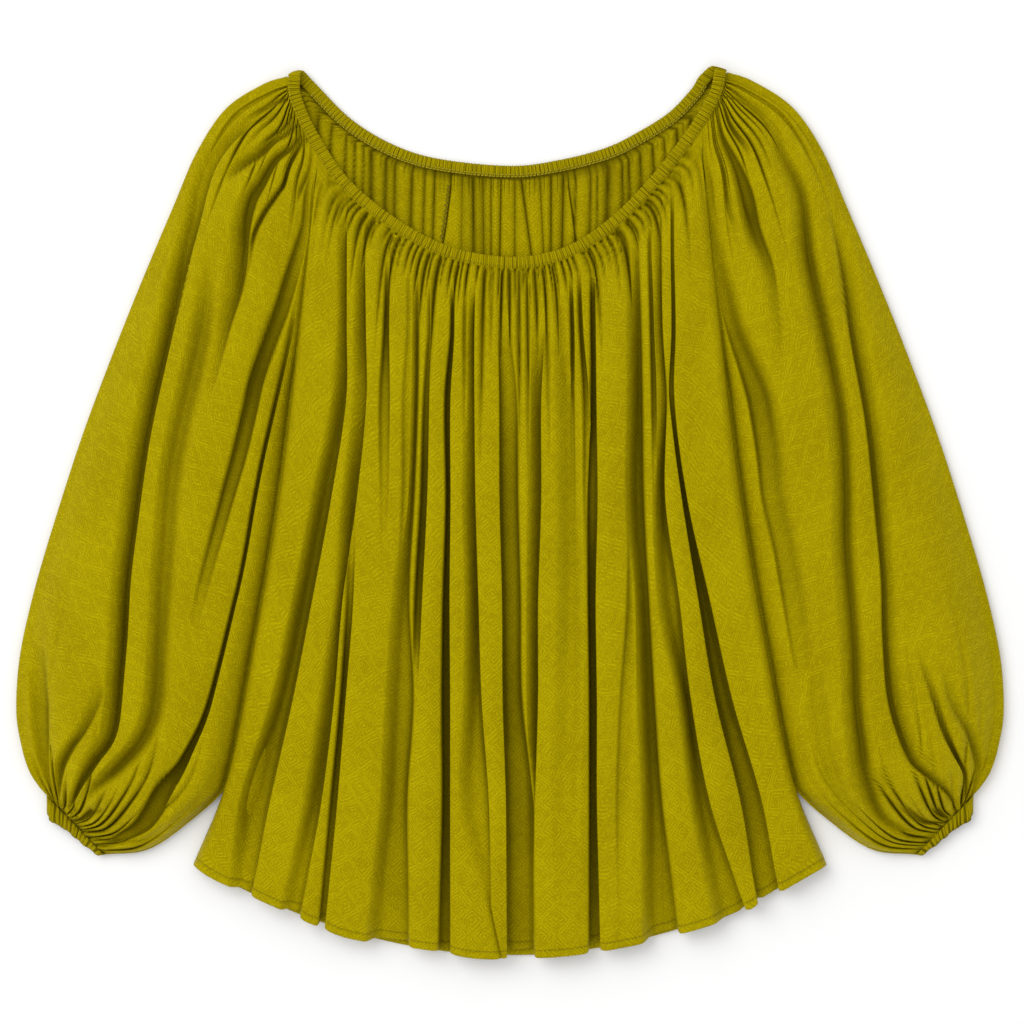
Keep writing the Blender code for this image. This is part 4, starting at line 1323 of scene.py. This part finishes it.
RIGHT_CREASES = (
    crease(
        Turn.SOFT, Turn.FIRM, (152, 272.5, 4, 6), (158.5, 233, 7, 9), (164, 201, 11, 12),
        (172, 173, 12, 13), (180, 145, 12, 14), (192, 113, 16, 13), (200, 89, 19, 13),
        (206.5, 49, 19, 10), (211, 9, 18, 8), (220, -31, 18, 7), (227, -71, 18, 6), (234.5, -119, 16, 3),
        (241, -151, 14, 0),
    ),
    crease(
        Turn.FIRM, Turn.SOFT, (168, 312.5, 3, 5), (180, 281, 6, 9), (190.5, 249, 11, 12),
        (196, 225, 10, 9), (205, 199.5, 8, 5), (211, 169, 7, 3), (213.5, 137, 7, 2), (216, 89, 7, 0),
    ),
    crease(
        Turn.SOFT, Turn.BROAD, (203, 321, 6, 0), (216, 289, 8, 5), (234.5, 249, 9, 8),
        (239.5, 201, 9, 11), (251.5, 145, 9, 11), (262.5, 89, 9, 10), (267.5, 25, 9, 11),
        (269, -39, 9, 11), (274, -103, 9, 11), (275.5, -151, 9, 12), (281, -199, 10, 13),
        (286, -220.5, 10, 12), (296, -243, 8, 10), (313.5, -255, 6, 7), (333, -255, 3, 4),
    ),
    crease(
        Turn.BROAD, Turn.FIRM, (257.5, 245, 5, 0), (267, 201, 8, 6), (275.5, 145, 9, 8), (286, 89, 9, 8),
        (294, 25, 9, 9), (299.5, -39, 9, 8), (301.5, -103, 9, 9), (306, -151, 9, 10), (321.5, -197, 8, 9),
        (337.5, -213, 7, 8), (350.5, -224.5, 4, 7), (358.5, -235.5, 2.5, 4),
    ),
    crease(
        Turn.FIRM, Turn.CRISP, (324, -111, 5, 0), (339, -151, 5, 4), (346.5, -175, 5, 6),
        (357, -197, 3.5, 9), (363, -208.5, 3, 8), (365.5, -230, 2.5, 5),
    ),
    crease(
        Turn.SOFT, Turn.FIRM, (345, -119, 8, 0), (353.5, -151, 8, 3), (366.5, -175, 7, 5),
        (373.5, -199, 4.5, 9), (374.5, -208.5, 4, 8), (373.5, -226, 2.5, 4),
    ),
    crease(Turn.FIRM, Turn.FIRM, (390, -195, 4, 0), (384, -211, 3, 4), (380, -223, 2.5, 4)),
    crease(Turn.FIRM, Turn.FIRM, (333, -234, 5, 0), (342, -240, 6, 7), (350, -245, 2.5, 5)),
    crease(
        Turn.FIRM, Turn.FIRM, (306, -228, 6, 0), (318, -240, 6, 5), (332, -248, 5, 7),
        (346, -250, 2.5, 5),
    ),
    crease(
        Turn.SOFT, Turn.SOFT, (244, -103, 14, 0), (246, -151, 16, 4), (254, -199, 16, 5),
        (270, -235, 14, 5), (296, -261, 10, 5), (328, -271, 3, 3),
    ),
    crease(
        Turn.SOFT, Turn.FIRM, (174, 332, 2.5, 4), (192, 326, 4, 5), (208, 309, 7, 3), (219, 281, 10, 0),
    ),
    crease(Turn.FIRM, Turn.FIRM, (165, 297, 2.5, 5), (174.5, 249, 4, 5), (182.5, 217, 4, 0)),
    crease(Turn.FIRM, Turn.FIRM, (154, 289, 2.5, 5), (161.5, 249, 3.5, 6), (165, 225, 4, 0)),
    crease(Turn.FIRM, Turn.FIRM, (171, 322, 2.5, 5), (184, 299, 4, 5), (195, 281, 5, 0)),
)

# A sleeve from the neck to the wrist: station, outer fold x, y, inner margin x, y, crest height,
# fold radius
SLEEVE = (
    (0, -178.9, 348, -154.9, 280, 10.2, 4.4), (1, -198.4, 342, -157.2, 265, 12.5, 4),
    (2, -228, 323, -156, 245, 15, 3.6), (3, -251, 289, -154.5, 217, 17.5, 3.6),
    (4, -270, 245, -157, 181, 19.5, 3.6), (5, -292, 193, -161, 137, 21, 3.6),
    (6, -315, 136, -168.5, 89, 22, 3.6), (7, -341, 67, -173, 33, 23, 3.6),
    (8, -362, 3, -178, -27, 24.5, 3.8), (9, -381, -61, -187, -87, 27, 4),
    (10, -393, -115, -198, -143, 30, 4.4), (11, -396, -159, -212, -187, 32, 4.8),
    (12, -392, -187, -227.5, -221, 32, 5), (13, -386, -207, -256, -248, 28, 5),
    (14, -378, -220, -290, -271, 18, 4.6), (15, -371.5, -227, -325, -275, 8.4, 4.2),
)
WRIST = 15.0  # its last station


@dataclass(frozen=True)
class Sleeve:
    """A raglan balloon sleeve: a flattened tube, gathered at the neck and at the wrist.

    Attributes:
        name: The piece's name.
        node: The solid that it stands for.
        side: -1 for the left one and 1 for the right one.
        creases: Its creases.
        rows: How many rows of points it has.
        under_columns: How many columns its underside has.
        fold_columns: How many the turn at its outer fold has.
        top_columns: How many its top has.
        under_width: Width that the underside's folds are spread over.
        neck_gathers: Width that the gathers at the neck are counted on, and the pitch of them.
        wrist_gathers: The same at the wrist.
    """

    name: str
    node: str
    side: int
    creases: Sequence[Crease]
    rows: int = 112
    under_columns: int = 150
    fold_columns: int = 8
    top_columns: int = 278
    under_width: float = 118.0
    neck_gathers: tuple[float, float] = (92.0, 6.6)
    wrist_gathers: tuple[float, float] = (66.0, 4.6)

    def outline(self, station: np.ndarray) -> dict[str, np.ndarray]:
        """Works out the corners and heights of its cross-sections.

        Args:
            station: Stations, one a row, as a column.

        Returns:
            Arrays by name: outer, inner and under points, the direction inward, the top's height, the
            outer fold's radius, the margin's height and its overlap with the body, and the base.
        """
        side = self.side
        ox, oy, ix, iy, crest, radius = np.moveaxis(smooth(SLEEVE, station), -1, 0)
        at_neck = 1.0 - ease(0.0, 3.0, station)
        tip_station, seam_station = self.neck_stations(NECK_FRONT)
        tip = neck_edge(NECK_FRONT, tip_station, 1.0)
        seam = neck_edge(NECK_FRONT, seam_station, 0.4)
        push = (tip[0] + side * SLEEVE[0][1], tip[1] - 1.0 - SLEEVE[0][2])
        outer = np.stack([-side * ox + push[0] * at_neck, oy + push[1] * at_neck], -1)
        inner_y = iy + (seam[1] - SLEEVE[0][4]) * at_neck
        inner_x = side * mix(half_width(inner_y) + 0.6, -ix, ease(1.0, 2.5, station))
        inner = np.stack([inner_x, inner_y], -1)
        raglan = smooth(BackPanel.raglan, np.minimum(station, 6.0))
        on_raglan = np.stack([side * (raglan[..., 0] + 0.3), raglan[..., 1]], -1)
        under = np.where(station[..., None] < 6.0, on_raglan, inner)
        margin = mix(7.4, 3.0, ease(5.0, 6.0, station))
        margin = mix(10.0, margin, ease(0.0, 1.6, station))
        overlap = np.maximum(half_width(inner_y) - np.abs(inner_x), 0.0)
        base = mix(0.8, 0.0, ease(0.0, 1.0, station))
        points = {"outer": outer, "inner": inner, "under": under, "inward": unit(inner - outer)}
        return points | {"crest": crest, "radius": radius, "margin": margin, "overlap": overlap, "base": base}

    def neck_stations(self, line: Rows) -> tuple[float, float]:
        """The stations of a neck seam line at the neck's tip and at the sleeve's seam.

        Args:
            line: The seam line, of the front or of the back.

        Returns:
            The two stations.
        """
        tip = 0.0 if self.side < 0 else line[-1][0]
        reach = half_width(281.0) + 1.0 if line is NECK_FRONT else 46.3
        return tip, float(station_at_x(line, self.side * reach))

    def along_neck(self, station: np.ndarray, flat: np.ndarray, line: Rows, share: np.ndarray) -> np.ndarray:
        """Draws points to the casing's seam line near the neck.

        Args:
            station: The points' stations.
            flat: The points' x and y on a straight row.
            line: The seam line.
            share: How far each point lies from the neck's tip to the sleeve's seam.

        Returns:
            The points' new x and y.
        """
        tip, seam = self.neck_stations(line)
        point, out = seam_point(line, mix(tip, seam, share))
        near = point + out * (1.2 + 3.0 * bell(share, 0.1))[..., None]
        ends = neck_edge(line, tip, 0.3), neck_edge(line, seam, 0.3)
        bow = near - mix(ends[0], ends[1], share[..., None])
        keep = (1.0 - ease(0.0, 1.5, station))[..., None]
        close = (1.0 - ease(0.0, 0.25, station))[..., None]
        return mix(flat + bow * keep, near, close)

    def underside(self, station: np.ndarray, at: dict[str, np.ndarray]) -> np.ndarray:
        """The underside's points, from its inner edge out to the fold.

        Args:
            station: The rows' stations, as a column.
            at: The cross-sections, as outline gives them.

        Returns:
            Rows by columns of x, y, height and the point's painted shade.
        """
        share = np.linspace(0.0, 1.0, self.under_columns)[None, :] ** 0.9
        start = at["outer"] + unit(at["under"] - at["outer"]) * at["radius"][..., None]
        flat = mix(at["under"], start, share[..., None])
        flat = self.along_neck(station + 0.0 * share, flat, NECK_BACK, 1.0 - share + 0.0 * station)
        place = self.under_width * share
        rest = self.under_width - place
        full = neck_folds(flat[..., 0], flat[..., 1]) * ease(-0.6, 1.2, place) * ease(0.0, 9.0, rest)
        folds = 1.5 * np.maximum(wander(place * 1.3, station * 40.0, 3.0), 0.0) * ease(7.0, 9.0, station)
        folds = folds * ease(0.0, 20.0, place - at["overlap"]) * ease(0.0, 12.0, rest)
        seam = neck_edge(NECK_FRONT, station_at_x(NECK_FRONT, flat[..., 0]), 0.3)
        into = flat[..., 1] - seam[..., 1]
        # Painted shade inside the neck: a little everywhere, more in the pleats, none under the front and
        # past the raglan.
        depth_and_painted_shade = 0.15 + np.clip((4.3 - full) / 2.8, 0.0, 1.0) + 0.0 * station
        depth_and_painted_shade = np.clip(depth_and_painted_shade, 0.0, 1.0) * ease(-12.0, 4.0, into) * (station < 6.0)
        return np.concatenate([flat, (at["base"] + full + folds)[..., None], depth_and_painted_shade[..., None]], -1)

    def turned(self, at: dict[str, np.ndarray]) -> np.ndarray:
        """The turn of cloth round the outer fold.

        Args:
            at: The cross-sections.

        Returns:
            Points in the same form as the underside's.
        """
        angle = np.radians(np.linspace(-90.0, 60.0, self.fold_columns + 2)[1:-1])[None, :]
        inward = at["radius"] * (1.0 - np.cos(angle))
        flat = at["outer"] + at["inward"] * inward[..., None]
        height = at["base"] + at["radius"] * (1.0 + np.sin(angle))
        return np.concatenate([flat, height[..., None], 0.0 * height[..., None]], -1)

    def top(self, station: np.ndarray, at: dict[str, np.ndarray]) -> np.ndarray:
        """The top's points, from the outer fold in to the margin under the body.

        Args:
            station: The rows' stations, as a column.
            at: The cross-sections.

        Returns:
            Points in the same form as the underside's.
        """
        length = np.linalg.norm(at["inner"] - at["outer"], axis=-1)
        start = at["radius"] * 1.5
        even = mix(start, length, np.linspace(0.0, 1.0, 900)[None, :])
        valleys = self.charted(station, at, even, length)
        long_ones = [one for one in valleys if one.levels[-1][0] > 13.0 and one.levels[0][0] < 6.0]
        level = mix(start, length, np.linspace(0.0, 1.0, self.top_columns)[None, :])
        near_end = np.maximum(ease(6.0, 4.6, station), ease(11.4, 12.8, station))
        place = mix(crowd(even, station + 0.0 * even, long_ones, self.top_columns), level, near_end)
        along = station + 0.0 * place
        drop, slide, shade = np.zeros((3, *place.shape))
        for valley in valleys:
            shade = np.maximum(shade, valley.brink(place, along, 0.9))
            depth_and_painted_shade, slid, _ = valley.sink(place, along)
            drop, slide = np.maximum(drop, depth_and_painted_shade) + 0.3 * np.minimum(drop, depth_and_painted_shade), slide + slid
        run = mix(26.0, 4.0, ease(12.5, WRIST, station))
        edge = at["base"] + 1.87 * at["radius"]
        z = mix(edge, at["crest"], 1.0 - np.exp(-(place - start) / run))
        share = (place - start) / (length - start)
        room = np.minimum(at["crest"] - LOWEST, 11.0)
        drop = np.maximum(drop, room * self.gathers(station, share))
        swell = wander(place * 0.7, station * 28.0, 2.0 + self.side) * ease(0.3, 2.5, station)
        z = z - 1.2 * drop * ease(0.0, 0.1, station) + swell * ease(0.2, 2.0, WRIST - station)
        covered = (at["overlap"] + 1.5) * (1.0 - ease(12.0, 13.0, station))
        inward = np.maximum(length - place - covered, 0.0)
        z = mix(at["margin"], z, 1.0 - np.exp(-inward / (run * 0.38)))
        z = np.maximum(z, 4.6 + 0.2 * wander(place, 30.0 * station, 1.0))
        shown = ease(0.0, 6.0, place - start) * ease(0.0, 4.0, length - place)
        shift = place + slide * shown * ease(0.2, 1.0, station) * ease(0.1, 0.6, WRIST - station)
        flat = at["outer"] + at["inward"] * shift[..., None]
        share = np.maximum(place - at["radius"], 0.0) / (length - at["radius"])
        flat = self.along_neck(along, flat, NECK_FRONT, share)
        # Painted shade: darker where the cloth lies low, in narrow and broad hollows and along the creases'
        # crisp edges; none near the outer fold and the margin.
        depth_and_painted_shade = 0.4 * np.clip((at["crest"] - z - 2.0) / (at["crest"] - LOWEST), 0.0, 1.0)
        depth_and_painted_shade = depth_and_painted_shade + hollow(place, z, 12.0) / 9.5 + hollow(place, z, 2.5) / 2.8 + 0.2 * shade
        depth_and_painted_shade = np.clip(depth_and_painted_shade, 0.0, 1.0)
        depth_and_painted_shade = depth_and_painted_shade * (1.0 - np.exp(-inward / 8.0)) * ease(0.0, 26.0, place - start)
        return np.concatenate([flat, z[..., None], depth_and_painted_shade[..., None]], -1)

    def gathers(self, station: np.ndarray, share: np.ndarray) -> np.ndarray:
        """The gathers at the neck and at the wrist.

        Args:
            station: The rows' stations, as a column.
            share: How far across each point lies, from the outer fold in.

        Returns:
            How deep in them each point lies, from 0 on their crests to 1.
        """
        near_neck = bell(station, 1.2 + 1.5 * np.sin(share * 17.0 + 1.0) ** 2)
        near_wrist = bell(station - WRIST, 1.3 + 1.9 * np.sin(share * 13.0) ** 2)
        width, pitch = self.neck_gathers
        neck = (1.0 - tubes(share * width, pitch, 1.4 + self.side)) * near_neck * (1.0 - share**8)
        width, pitch = self.wrist_gathers
        wrist = (1.0 - tubes(share * width, pitch, 0.3 + self.side)) * near_wrist
        return np.maximum(neck * ease(0.0, 0.06, station), wrist * ease(0.0, 0.08, WRIST - station))

    def charted(
        self, station: np.ndarray, at: dict[str, np.ndarray], even: np.ndarray, length: np.ndarray
    ) -> list[Valley]:
        """Finds where the creases lie across the sleeve.

        Args:
            station: The rows' stations.
            at: The cross-sections.
            even: Even places across the rows.
            length: The rows' lengths.

        Returns:
            The creases as valleys with levels of station, near side, far side and depth.
        """
        flat = at["outer"] + at["inward"] * even[..., None]
        share = np.maximum(even - at["radius"], 0.0) / (length - at["radius"])
        flat = self.along_neck(station + 0.0 * even, flat, NECK_FRONT, share)
        valleys = []
        for fold in self.creases:
            levels = []
            for x, y, width, depth in fold.points:
                gap = (flat[..., 0] - x) ** 2 + (flat[..., 1] - y) ** 2
                j, i = np.unravel_index(np.argmin(gap), gap.shape)
                levels.append((station[j, 0], even[j, i] - width / 2, even[j, i] + width / 2, depth))
            levels.sort()
            kept = [levels[0]]
            for level in levels[1:-1]:
                if kept[-1][0] + 0.2 < level[0] < levels[-1][0] - 0.2:
                    kept.append(level)
            if levels[-1][0] > levels[0][0] + 0.1:
                valleys.append(Valley([*kept, levels[-1]], fold.near, fold.far))
        return valleys

    def build(self, material: bpy.types.Material) -> bpy.types.Object:
        """Makes the sleeve.

        Args:
            material: Its finish.

        Returns:
            The piece.
        """
        even = np.linspace(0.0, 1.0, self.rows)
        table = np.array(SLEEVE)
        middle = (table[:, 1:3] + table[:, 3:5]) / 2
        run = np.concatenate([[0.0], np.linalg.norm(np.diff(middle, axis=0), axis=1).cumsum()])
        by_length = np.interp(even * run[-1], run, table[:, 0])
        by_end = WRIST * (0.55 * even + 0.45 * (0.5 - 0.5 * np.cos(math.pi * even)))
        station = mix(by_end, by_length, 0.6)[:, None]
        at = self.outline(station)
        points = [self.underside(station, at), self.turned(at), self.top(station, at)]
        points = np.concatenate(points, axis=1)
        if self.side > 0:
            points = points[:, ::-1]
        points, depth_and_painted_shade = points[..., :3], points[..., 3]
        piece = weave_sheet(self.name, points[::-1], chart(points)[::-1], depth_and_painted_shade[::-1])
        give_wall(piece)
        dress(piece, material, "blouse_cloth", self.node)
        return piece


# ---------------------------------------------------------------- casings


@dataclass(frozen=True)
class NeckCasing:
    """The neck's elastic casing: one ruched ring, turned over at its two tips.

    Attributes:
        width: Its width.
        thickness: Its thickness.
        pitch: Distance between its ribs.
        steps: How many sections each half has.
        bend_steps: How many each turn has.
        corners: How many points go round a section.
    """

    width: float = 9.5
    thickness: float = 3.0
    pitch: float = 3.4
    steps: int = 620
    bend_steps: int = 14
    corners: int = 16

    def path(self) -> tuple[np.ndarray, np.ndarray, np.ndarray]:
        """Works out the ring's sections, round to the first one again.

        Returns:
            Their middles, their directions across and the directions of their face.
        """
        runs = []
        for line in (NECK_FRONT, NECK_BACK):
            station = np.linspace(0.0, line[-1][0], self.steps)
            point, out = seam_point(line, station)
            height = casing_height(line, station)[:, None]
            middle = np.concatenate([point + out * self.width / 2, height], 1)
            face = np.zeros((self.steps, 3))
            face[:, 2] = 1.0 if line is NECK_FRONT else -1.0
            runs.append([middle, np.pad(out, ((0, 0), (0, 1))), face])
        front, back = runs
        right = self.bend([part[-1] for part in front], [part[-1] for part in back], (0.35, 0.94))
        left = self.bend([part[0] for part in back], [part[0] for part in front], (-0.38, 0.92))
        ring = zip(front, right, [part[::-1] for part in back], left, [part[:1] for part in front])
        return tuple(np.concatenate(parts) for parts in ring)

    def bend(
        self, start: Sequence[np.ndarray], end: Sequence[np.ndarray], out: tuple[float, float]
    ) -> list[np.ndarray]:
        """Turns the casing over at a tip of the neck.

        Args:
            start: Middle, direction across and direction of the face where the turn starts.
            end: The same where it ends.
            out: The direction that the turn bulges in.

        Returns:
            Middles, directions across and directions of the face of the sections between.
        """
        share = (np.arange(1, self.bend_steps) / self.bend_steps)[:, None]
        turn = math.pi * share
        radius = abs(start[0][2] - end[0][2]) / 2
        away = np.array([[out[0], out[1], 0.0]])
        middle = mix(start[0], end[0], share) + away * radius * np.sin(turn)
        middle[:, 2:] = (start[0][2] + end[0][2]) / 2 + np.cos(turn) * (start[0][2] - end[0][2]) / 2
        across = unit(mix(start[1], end[1], share))
        face = away * np.sin(turn) + np.array([[0.0, 0.0, start[2][2]]]) * np.cos(turn)
        return [middle, across, face]

    def build(self, wardrobe: Wardrobe) -> None:
        """Makes the ring and its rows of stitches.

        Args:
            wardrobe: The finishes.
        """
        middle, across, face = self.path()
        run = np.concatenate([[0.0], np.linalg.norm(np.diff(middle, axis=0), axis=1).cumsum()])
        total = run[-1]
        pitch = total / round(total / self.pitch)
        rib = ripple(run, pitch, 0.6) * 0.6 + 0.4 * ripple(run, pitch * 0.46, 1.7)
        rib = mix(rib, rib[0], bell(run, 2.0) + bell(run - total, 2.0))[:, None]
        turn = np.linspace(0.0, 2 * math.pi, self.corners + 1)[None, :]
        wide = np.sign(np.cos(turn)) * np.abs(np.cos(turn)) ** 0.7
        thick = np.sign(np.sin(turn)) * np.abs(np.sin(turn)) ** 0.8
        a = wide * self.width / 2 * (1.0 + 0.03 * rib) + 0.15 * rib
        t = thick * (self.thickness / 2 + 0.6 * rib * np.abs(thick))
        points = middle[:, None] + across[:, None] * a[..., None] + face[:, None] * t[..., None]
        girth = np.concatenate([[0.0], np.linalg.norm(np.diff(points[0], axis=0), axis=1).cumsum()])
        cloth = np.stack(np.broadcast_arrays(run[:, None], girth[None, :]), -1)
        points[..., 2] = np.maximum(points[..., 2], 0.05)
        # The ribs' grooves carry painted shade.
        piece = weave_sheet("neck_casing_cloth", points, cloth, np.clip(-0.8 * rib, 0.0, 1.0), closed=True)
        dress(piece, wardrobe.casing, "gathered_casing", "neck_casing")
        on_top = middle + face * (self.thickness / 2 + 0.2)
        shown = slice(6, self.steps - 6)
        front = on_top[shown] - across[shown] * (self.width / 2 - 1.9)
        stitches = StitchRow("neck_front_stitches", 1.7, 0.42, 2.6).build([front])
        dress(stitches, wardrobe.thread, "gathered_casing")
        start = self.steps + self.bend_steps
        inside = slice(start + 10, start + self.steps - 12)
        back = middle[inside] - face[inside] * (self.thickness / 2 + 0.5)
        rows = [back - across[inside] * (self.width / 2 - gap) for gap in (0.4, 2.2)]
        cover = StitchRow("neck_back_cover_stitches", 2.4, 0.9, 3.0).build(rows)
        dress(cover, wardrobe.cover, "gathered_casing")


@dataclass(frozen=True)
class Cuff:
    """A wrist casing: a flattened ring of elastic, ruched.

    Attributes:
        name: The piece's name.
        node: The solid that it stands for.
        side: -1 for the left one and 1 for the right one.
        height: Its height off the surface.
        wall: Thickness of its ruched cloth.
        pitch: Distance between its ribs.
        free_edge: Its edge at the hand: share along the wrist, place along it and away from it.
        round_steps: How many steps go round it.
        cross_steps: How many points lie across it.
    """

    name: str
    node: str
    side: int
    height: float = 8.4
    wall: float = 0.9
    pitch: float = 4.3
    free_edge: Rows = (
        (0, 10.4, 9.6), (0.1, 17.6, 12.0), (0.3, 28.0, 8.8), (0.7, 49.0, 6.4), (1, 64.4, 3.8)
    )
    round_steps: int = 200
    cross_steps: int = 12

    def section(self, length: float) -> tuple[np.ndarray, np.ndarray, np.ndarray]:
        """The flattened ring seen along the sleeve.

        Args:
            length: Its length from end to end.

        Returns:
            How far round each point is, and its place along and height.
        """
        radius = self.height / 2
        straight = length - 2 * radius
        bend = math.pi * radius
        girth = 2 * straight + 2 * bend
        run = np.linspace(0.0, girth, self.round_steps + 1)
        ends = [0, straight, straight + bend, 2 * straight + bend, girth]
        place = np.interp(run, ends, [0, 1, 2, 3, 4])
        angle = (np.where(place < 2, np.clip(place - 1, 0, 1), np.clip(place - 3, 0, 1) + 1)) * math.pi
        part = [place <= 1, place <= 2, place < 3]
        far, near = length - radius + radius * np.sin(angle), radius - radius * np.sin(angle - math.pi)
        x = np.select(part, [radius + place * straight, far, radius + (3 - place) * straight], near)
        turned = radius + radius * np.cos(angle)
        return run, x, np.select(part, [self.height + 0.0 * run, turned, 0.0 * run], turned)

    def build(self, material: bpy.types.Material) -> None:
        """Makes the ring.

        Args:
            material: Its finish.
        """
        _, ox, oy, ix, iy, _, _ = SLEEVE[-1]
        start, end = np.array([ox, oy]), np.array([ix, iy])
        along = unit(end - start)
        out = np.array([along[1], -along[0]])
        length = float(np.linalg.norm(end - start))
        run, x, z = self.section(length)
        girth = run[-1]
        reach = np.linspace(0.0, 1.0, self.cross_steps)[None, :]
        pitch = girth / round(girth / self.pitch)
        rib = (0.8 * ripple(run, pitch, 0.0) + 0.5 * ripple(run, pitch * 1.9, 2.0))[:, None]
        rib = mix(rib, rib[0], (bell(run, 2.0) + bell(run - girth, 2.0))[:, None])
        rib = rib * np.sin(math.pi * mix(0.1, 1.0, reach)) ** 0.5
        centre_z = self.height / 2
        push = (z[:, None] - centre_z) / centre_z
        puff = mix(0.62, 1.12, np.sin(math.pi * mix(0.12, 0.93, reach)) ** 0.7)
        high = centre_z + push * (centre_z * puff + 0.6 * rib)
        edge = smooth(self.free_edge, x / length)
        scallop = (0.4 * ripple(run, 3.1 * pitch, 1.0) + 0.1 * ripple(run, pitch, 0.0))[:, None]
        aside = 0.2 + edge[:, 1:] * reach + scallop * ease(0.5, 1.0, reach)
        forward = x[:, None] + (edge[:, :1] - x[:, None]) * reach
        flat = start + along * forward[..., None] + out * aside[..., None]
        flat[..., 0] *= -self.side
        points = np.concatenate([flat, np.maximum(high, 0.0)[..., None]], -1)
        cloth = np.stack(np.broadcast_arrays(run[:, None], edge[:, 1:] * reach), -1)
        if self.side > 0:
            points, cloth = points[:, ::-1], cloth[:, ::-1]
        # Painted shade in the ribs' grooves and along both edges of the cuff.
        groove = np.clip(-1.1 * rib + 0.6 * bell(reach, 0.25) + 0.3 * bell(1.0 - reach, 0.2), 0.0, 1.0)
        piece = weave_sheet(self.name, points, cloth, groove, closed=True)
        give_wall(piece, self.wall)
        dress(piece, material, "gathered_casing", self.node)


# ---------------------------------------------------------------- studio


@dataclass(frozen=True)
class Studio:
    """A pale floor, soft light and a camera looking straight down; sizes in metres.

    Attributes:
        view_width: How much of the surface is in view from side to side.
        lens: The camera's lens, in millimetres.
        middle: Middle of the view.
        level: Height at which the view is that wide.
        drop: How far the floor lies below the blouse.
        window: Place of the softbox.
        window_size: Its size.
        window_power: Its power, in watts.
        sky: Strength of the light from all round.
    """

    view_width: float = 0.8192
    lens: float = 135.0
    middle: tuple[float, float] = (0.0016, -0.0004)
    level: float = 0.012
    drop: float = 0.0006
    window: tuple[float, float, float] = (-2.6, 1.9, 3.9)
    window_size: float = 3.6
    window_power: float = 108.0
    sky: float = 0.79

    def build(self) -> None:
        """Sets the floor, the lights and the camera."""
        plane = bmesh.new()
        bmesh.ops.create_grid(plane, x_segments=2, y_segments=2, size=3.0)
        mesh = bpy.data.meshes.new("floor")
        plane.to_mesh(mesh)
        plane.free()
        floor = link("floor", mesh)
        floor.location.z = -self.drop
        bench = Bench("floor_paper")
        paper = bench.finish({"Base Color": (0.98, 0.98, 0.98, 1.0), "Roughness": 1.0})
        floor.data.materials.append(paper)
        self.light()
        world = bpy.data.worlds.new("studio")
        world.use_nodes = True
        ambient = world.node_tree.nodes["Background"]
        ambient.inputs["Color"].default_value = (1.0, 1.0, 1.0, 1.0)
        ambient.inputs["Strength"].default_value = self.sky
        bpy.context.scene.world = world
        bpy.context.scene.view_settings.view_transform = "Standard"
        camera = bpy.data.cameras.new("above")
        camera.lens = self.lens
        camera.clip_start, camera.clip_end = 0.1, 20.0
        holder = bpy.data.objects.new("above", camera)
        bpy.context.scene.collection.objects.link(holder)
        holder.location = (*self.middle, self.level + self.view_width * self.lens / camera.sensor_width)
        bpy.context.scene.camera = holder

    def light(self) -> None:
        """Adds the square softbox, which faces the blouse."""
        lamp = bpy.data.lights.new("window", "AREA")
        lamp.shape = "SQUARE"
        lamp.size = self.window_size
        lamp.energy = self.window_power
        holder = bpy.data.objects.new("window", lamp)
        bpy.context.scene.collection.objects.link(holder)
        holder.location = self.window
        holder.rotation_euler = (-Vector(self.window)).to_track_quat("-Z", "Y").to_euler()


# ---------------------------------------------------------------- the blouse


def main() -> None:
    """Builds the blouse piece by piece."""
    logging.basicConfig(level=logging.INFO, format="%(name)s %(message)s")
    Studio().build()
    on_bias = {"broken": 0.5, "diamond": (30.0, 22.0)}
    wardrobe = Wardrobe(
        body=JacquardFinish("jacquard_body").build(),
        left=JacquardFinish("jacquard_left_sleeve", slant=-24.0, **on_bias).build(),
        right=JacquardFinish("jacquard_right_sleeve", slant=24.0, **on_bias).build(),
        casing=CasingFinish("ruched_casing").build(),
        thread=ThreadFinish("thread", linear(128, 114, 6), linear(92, 80, 2)).build(),
        cover=ThreadFinish("cover_thread", linear(190, 178, 40), linear(140, 126, 14)).build(),
        overlock=ThreadFinish("overlock_thread", linear(96, 82, 0), linear(58, 48, 0)).build(),
    )
    FrontPanel().build(wardrobe)
    BackPanel().build(wardrobe)
    for sleeve, material in (
        (Sleeve("left_sleeve_cloth", "sleeve_left", -1, LEFT_CREASES), wardrobe.left),
        (Sleeve("right_sleeve_cloth", "sleeve_right", 1, RIGHT_CREASES), wardrobe.right),
    ):
        piece = sleeve.build(material)
    NeckCasing().build(wardrobe)
    Cuff("left_cuff_cloth", "cuff_left", -1).build(wardrobe.casing)
    Cuff("right_cuff_cloth", "cuff_right", 1).build(wardrobe.casing)


if __name__ == "__main__":
    main()
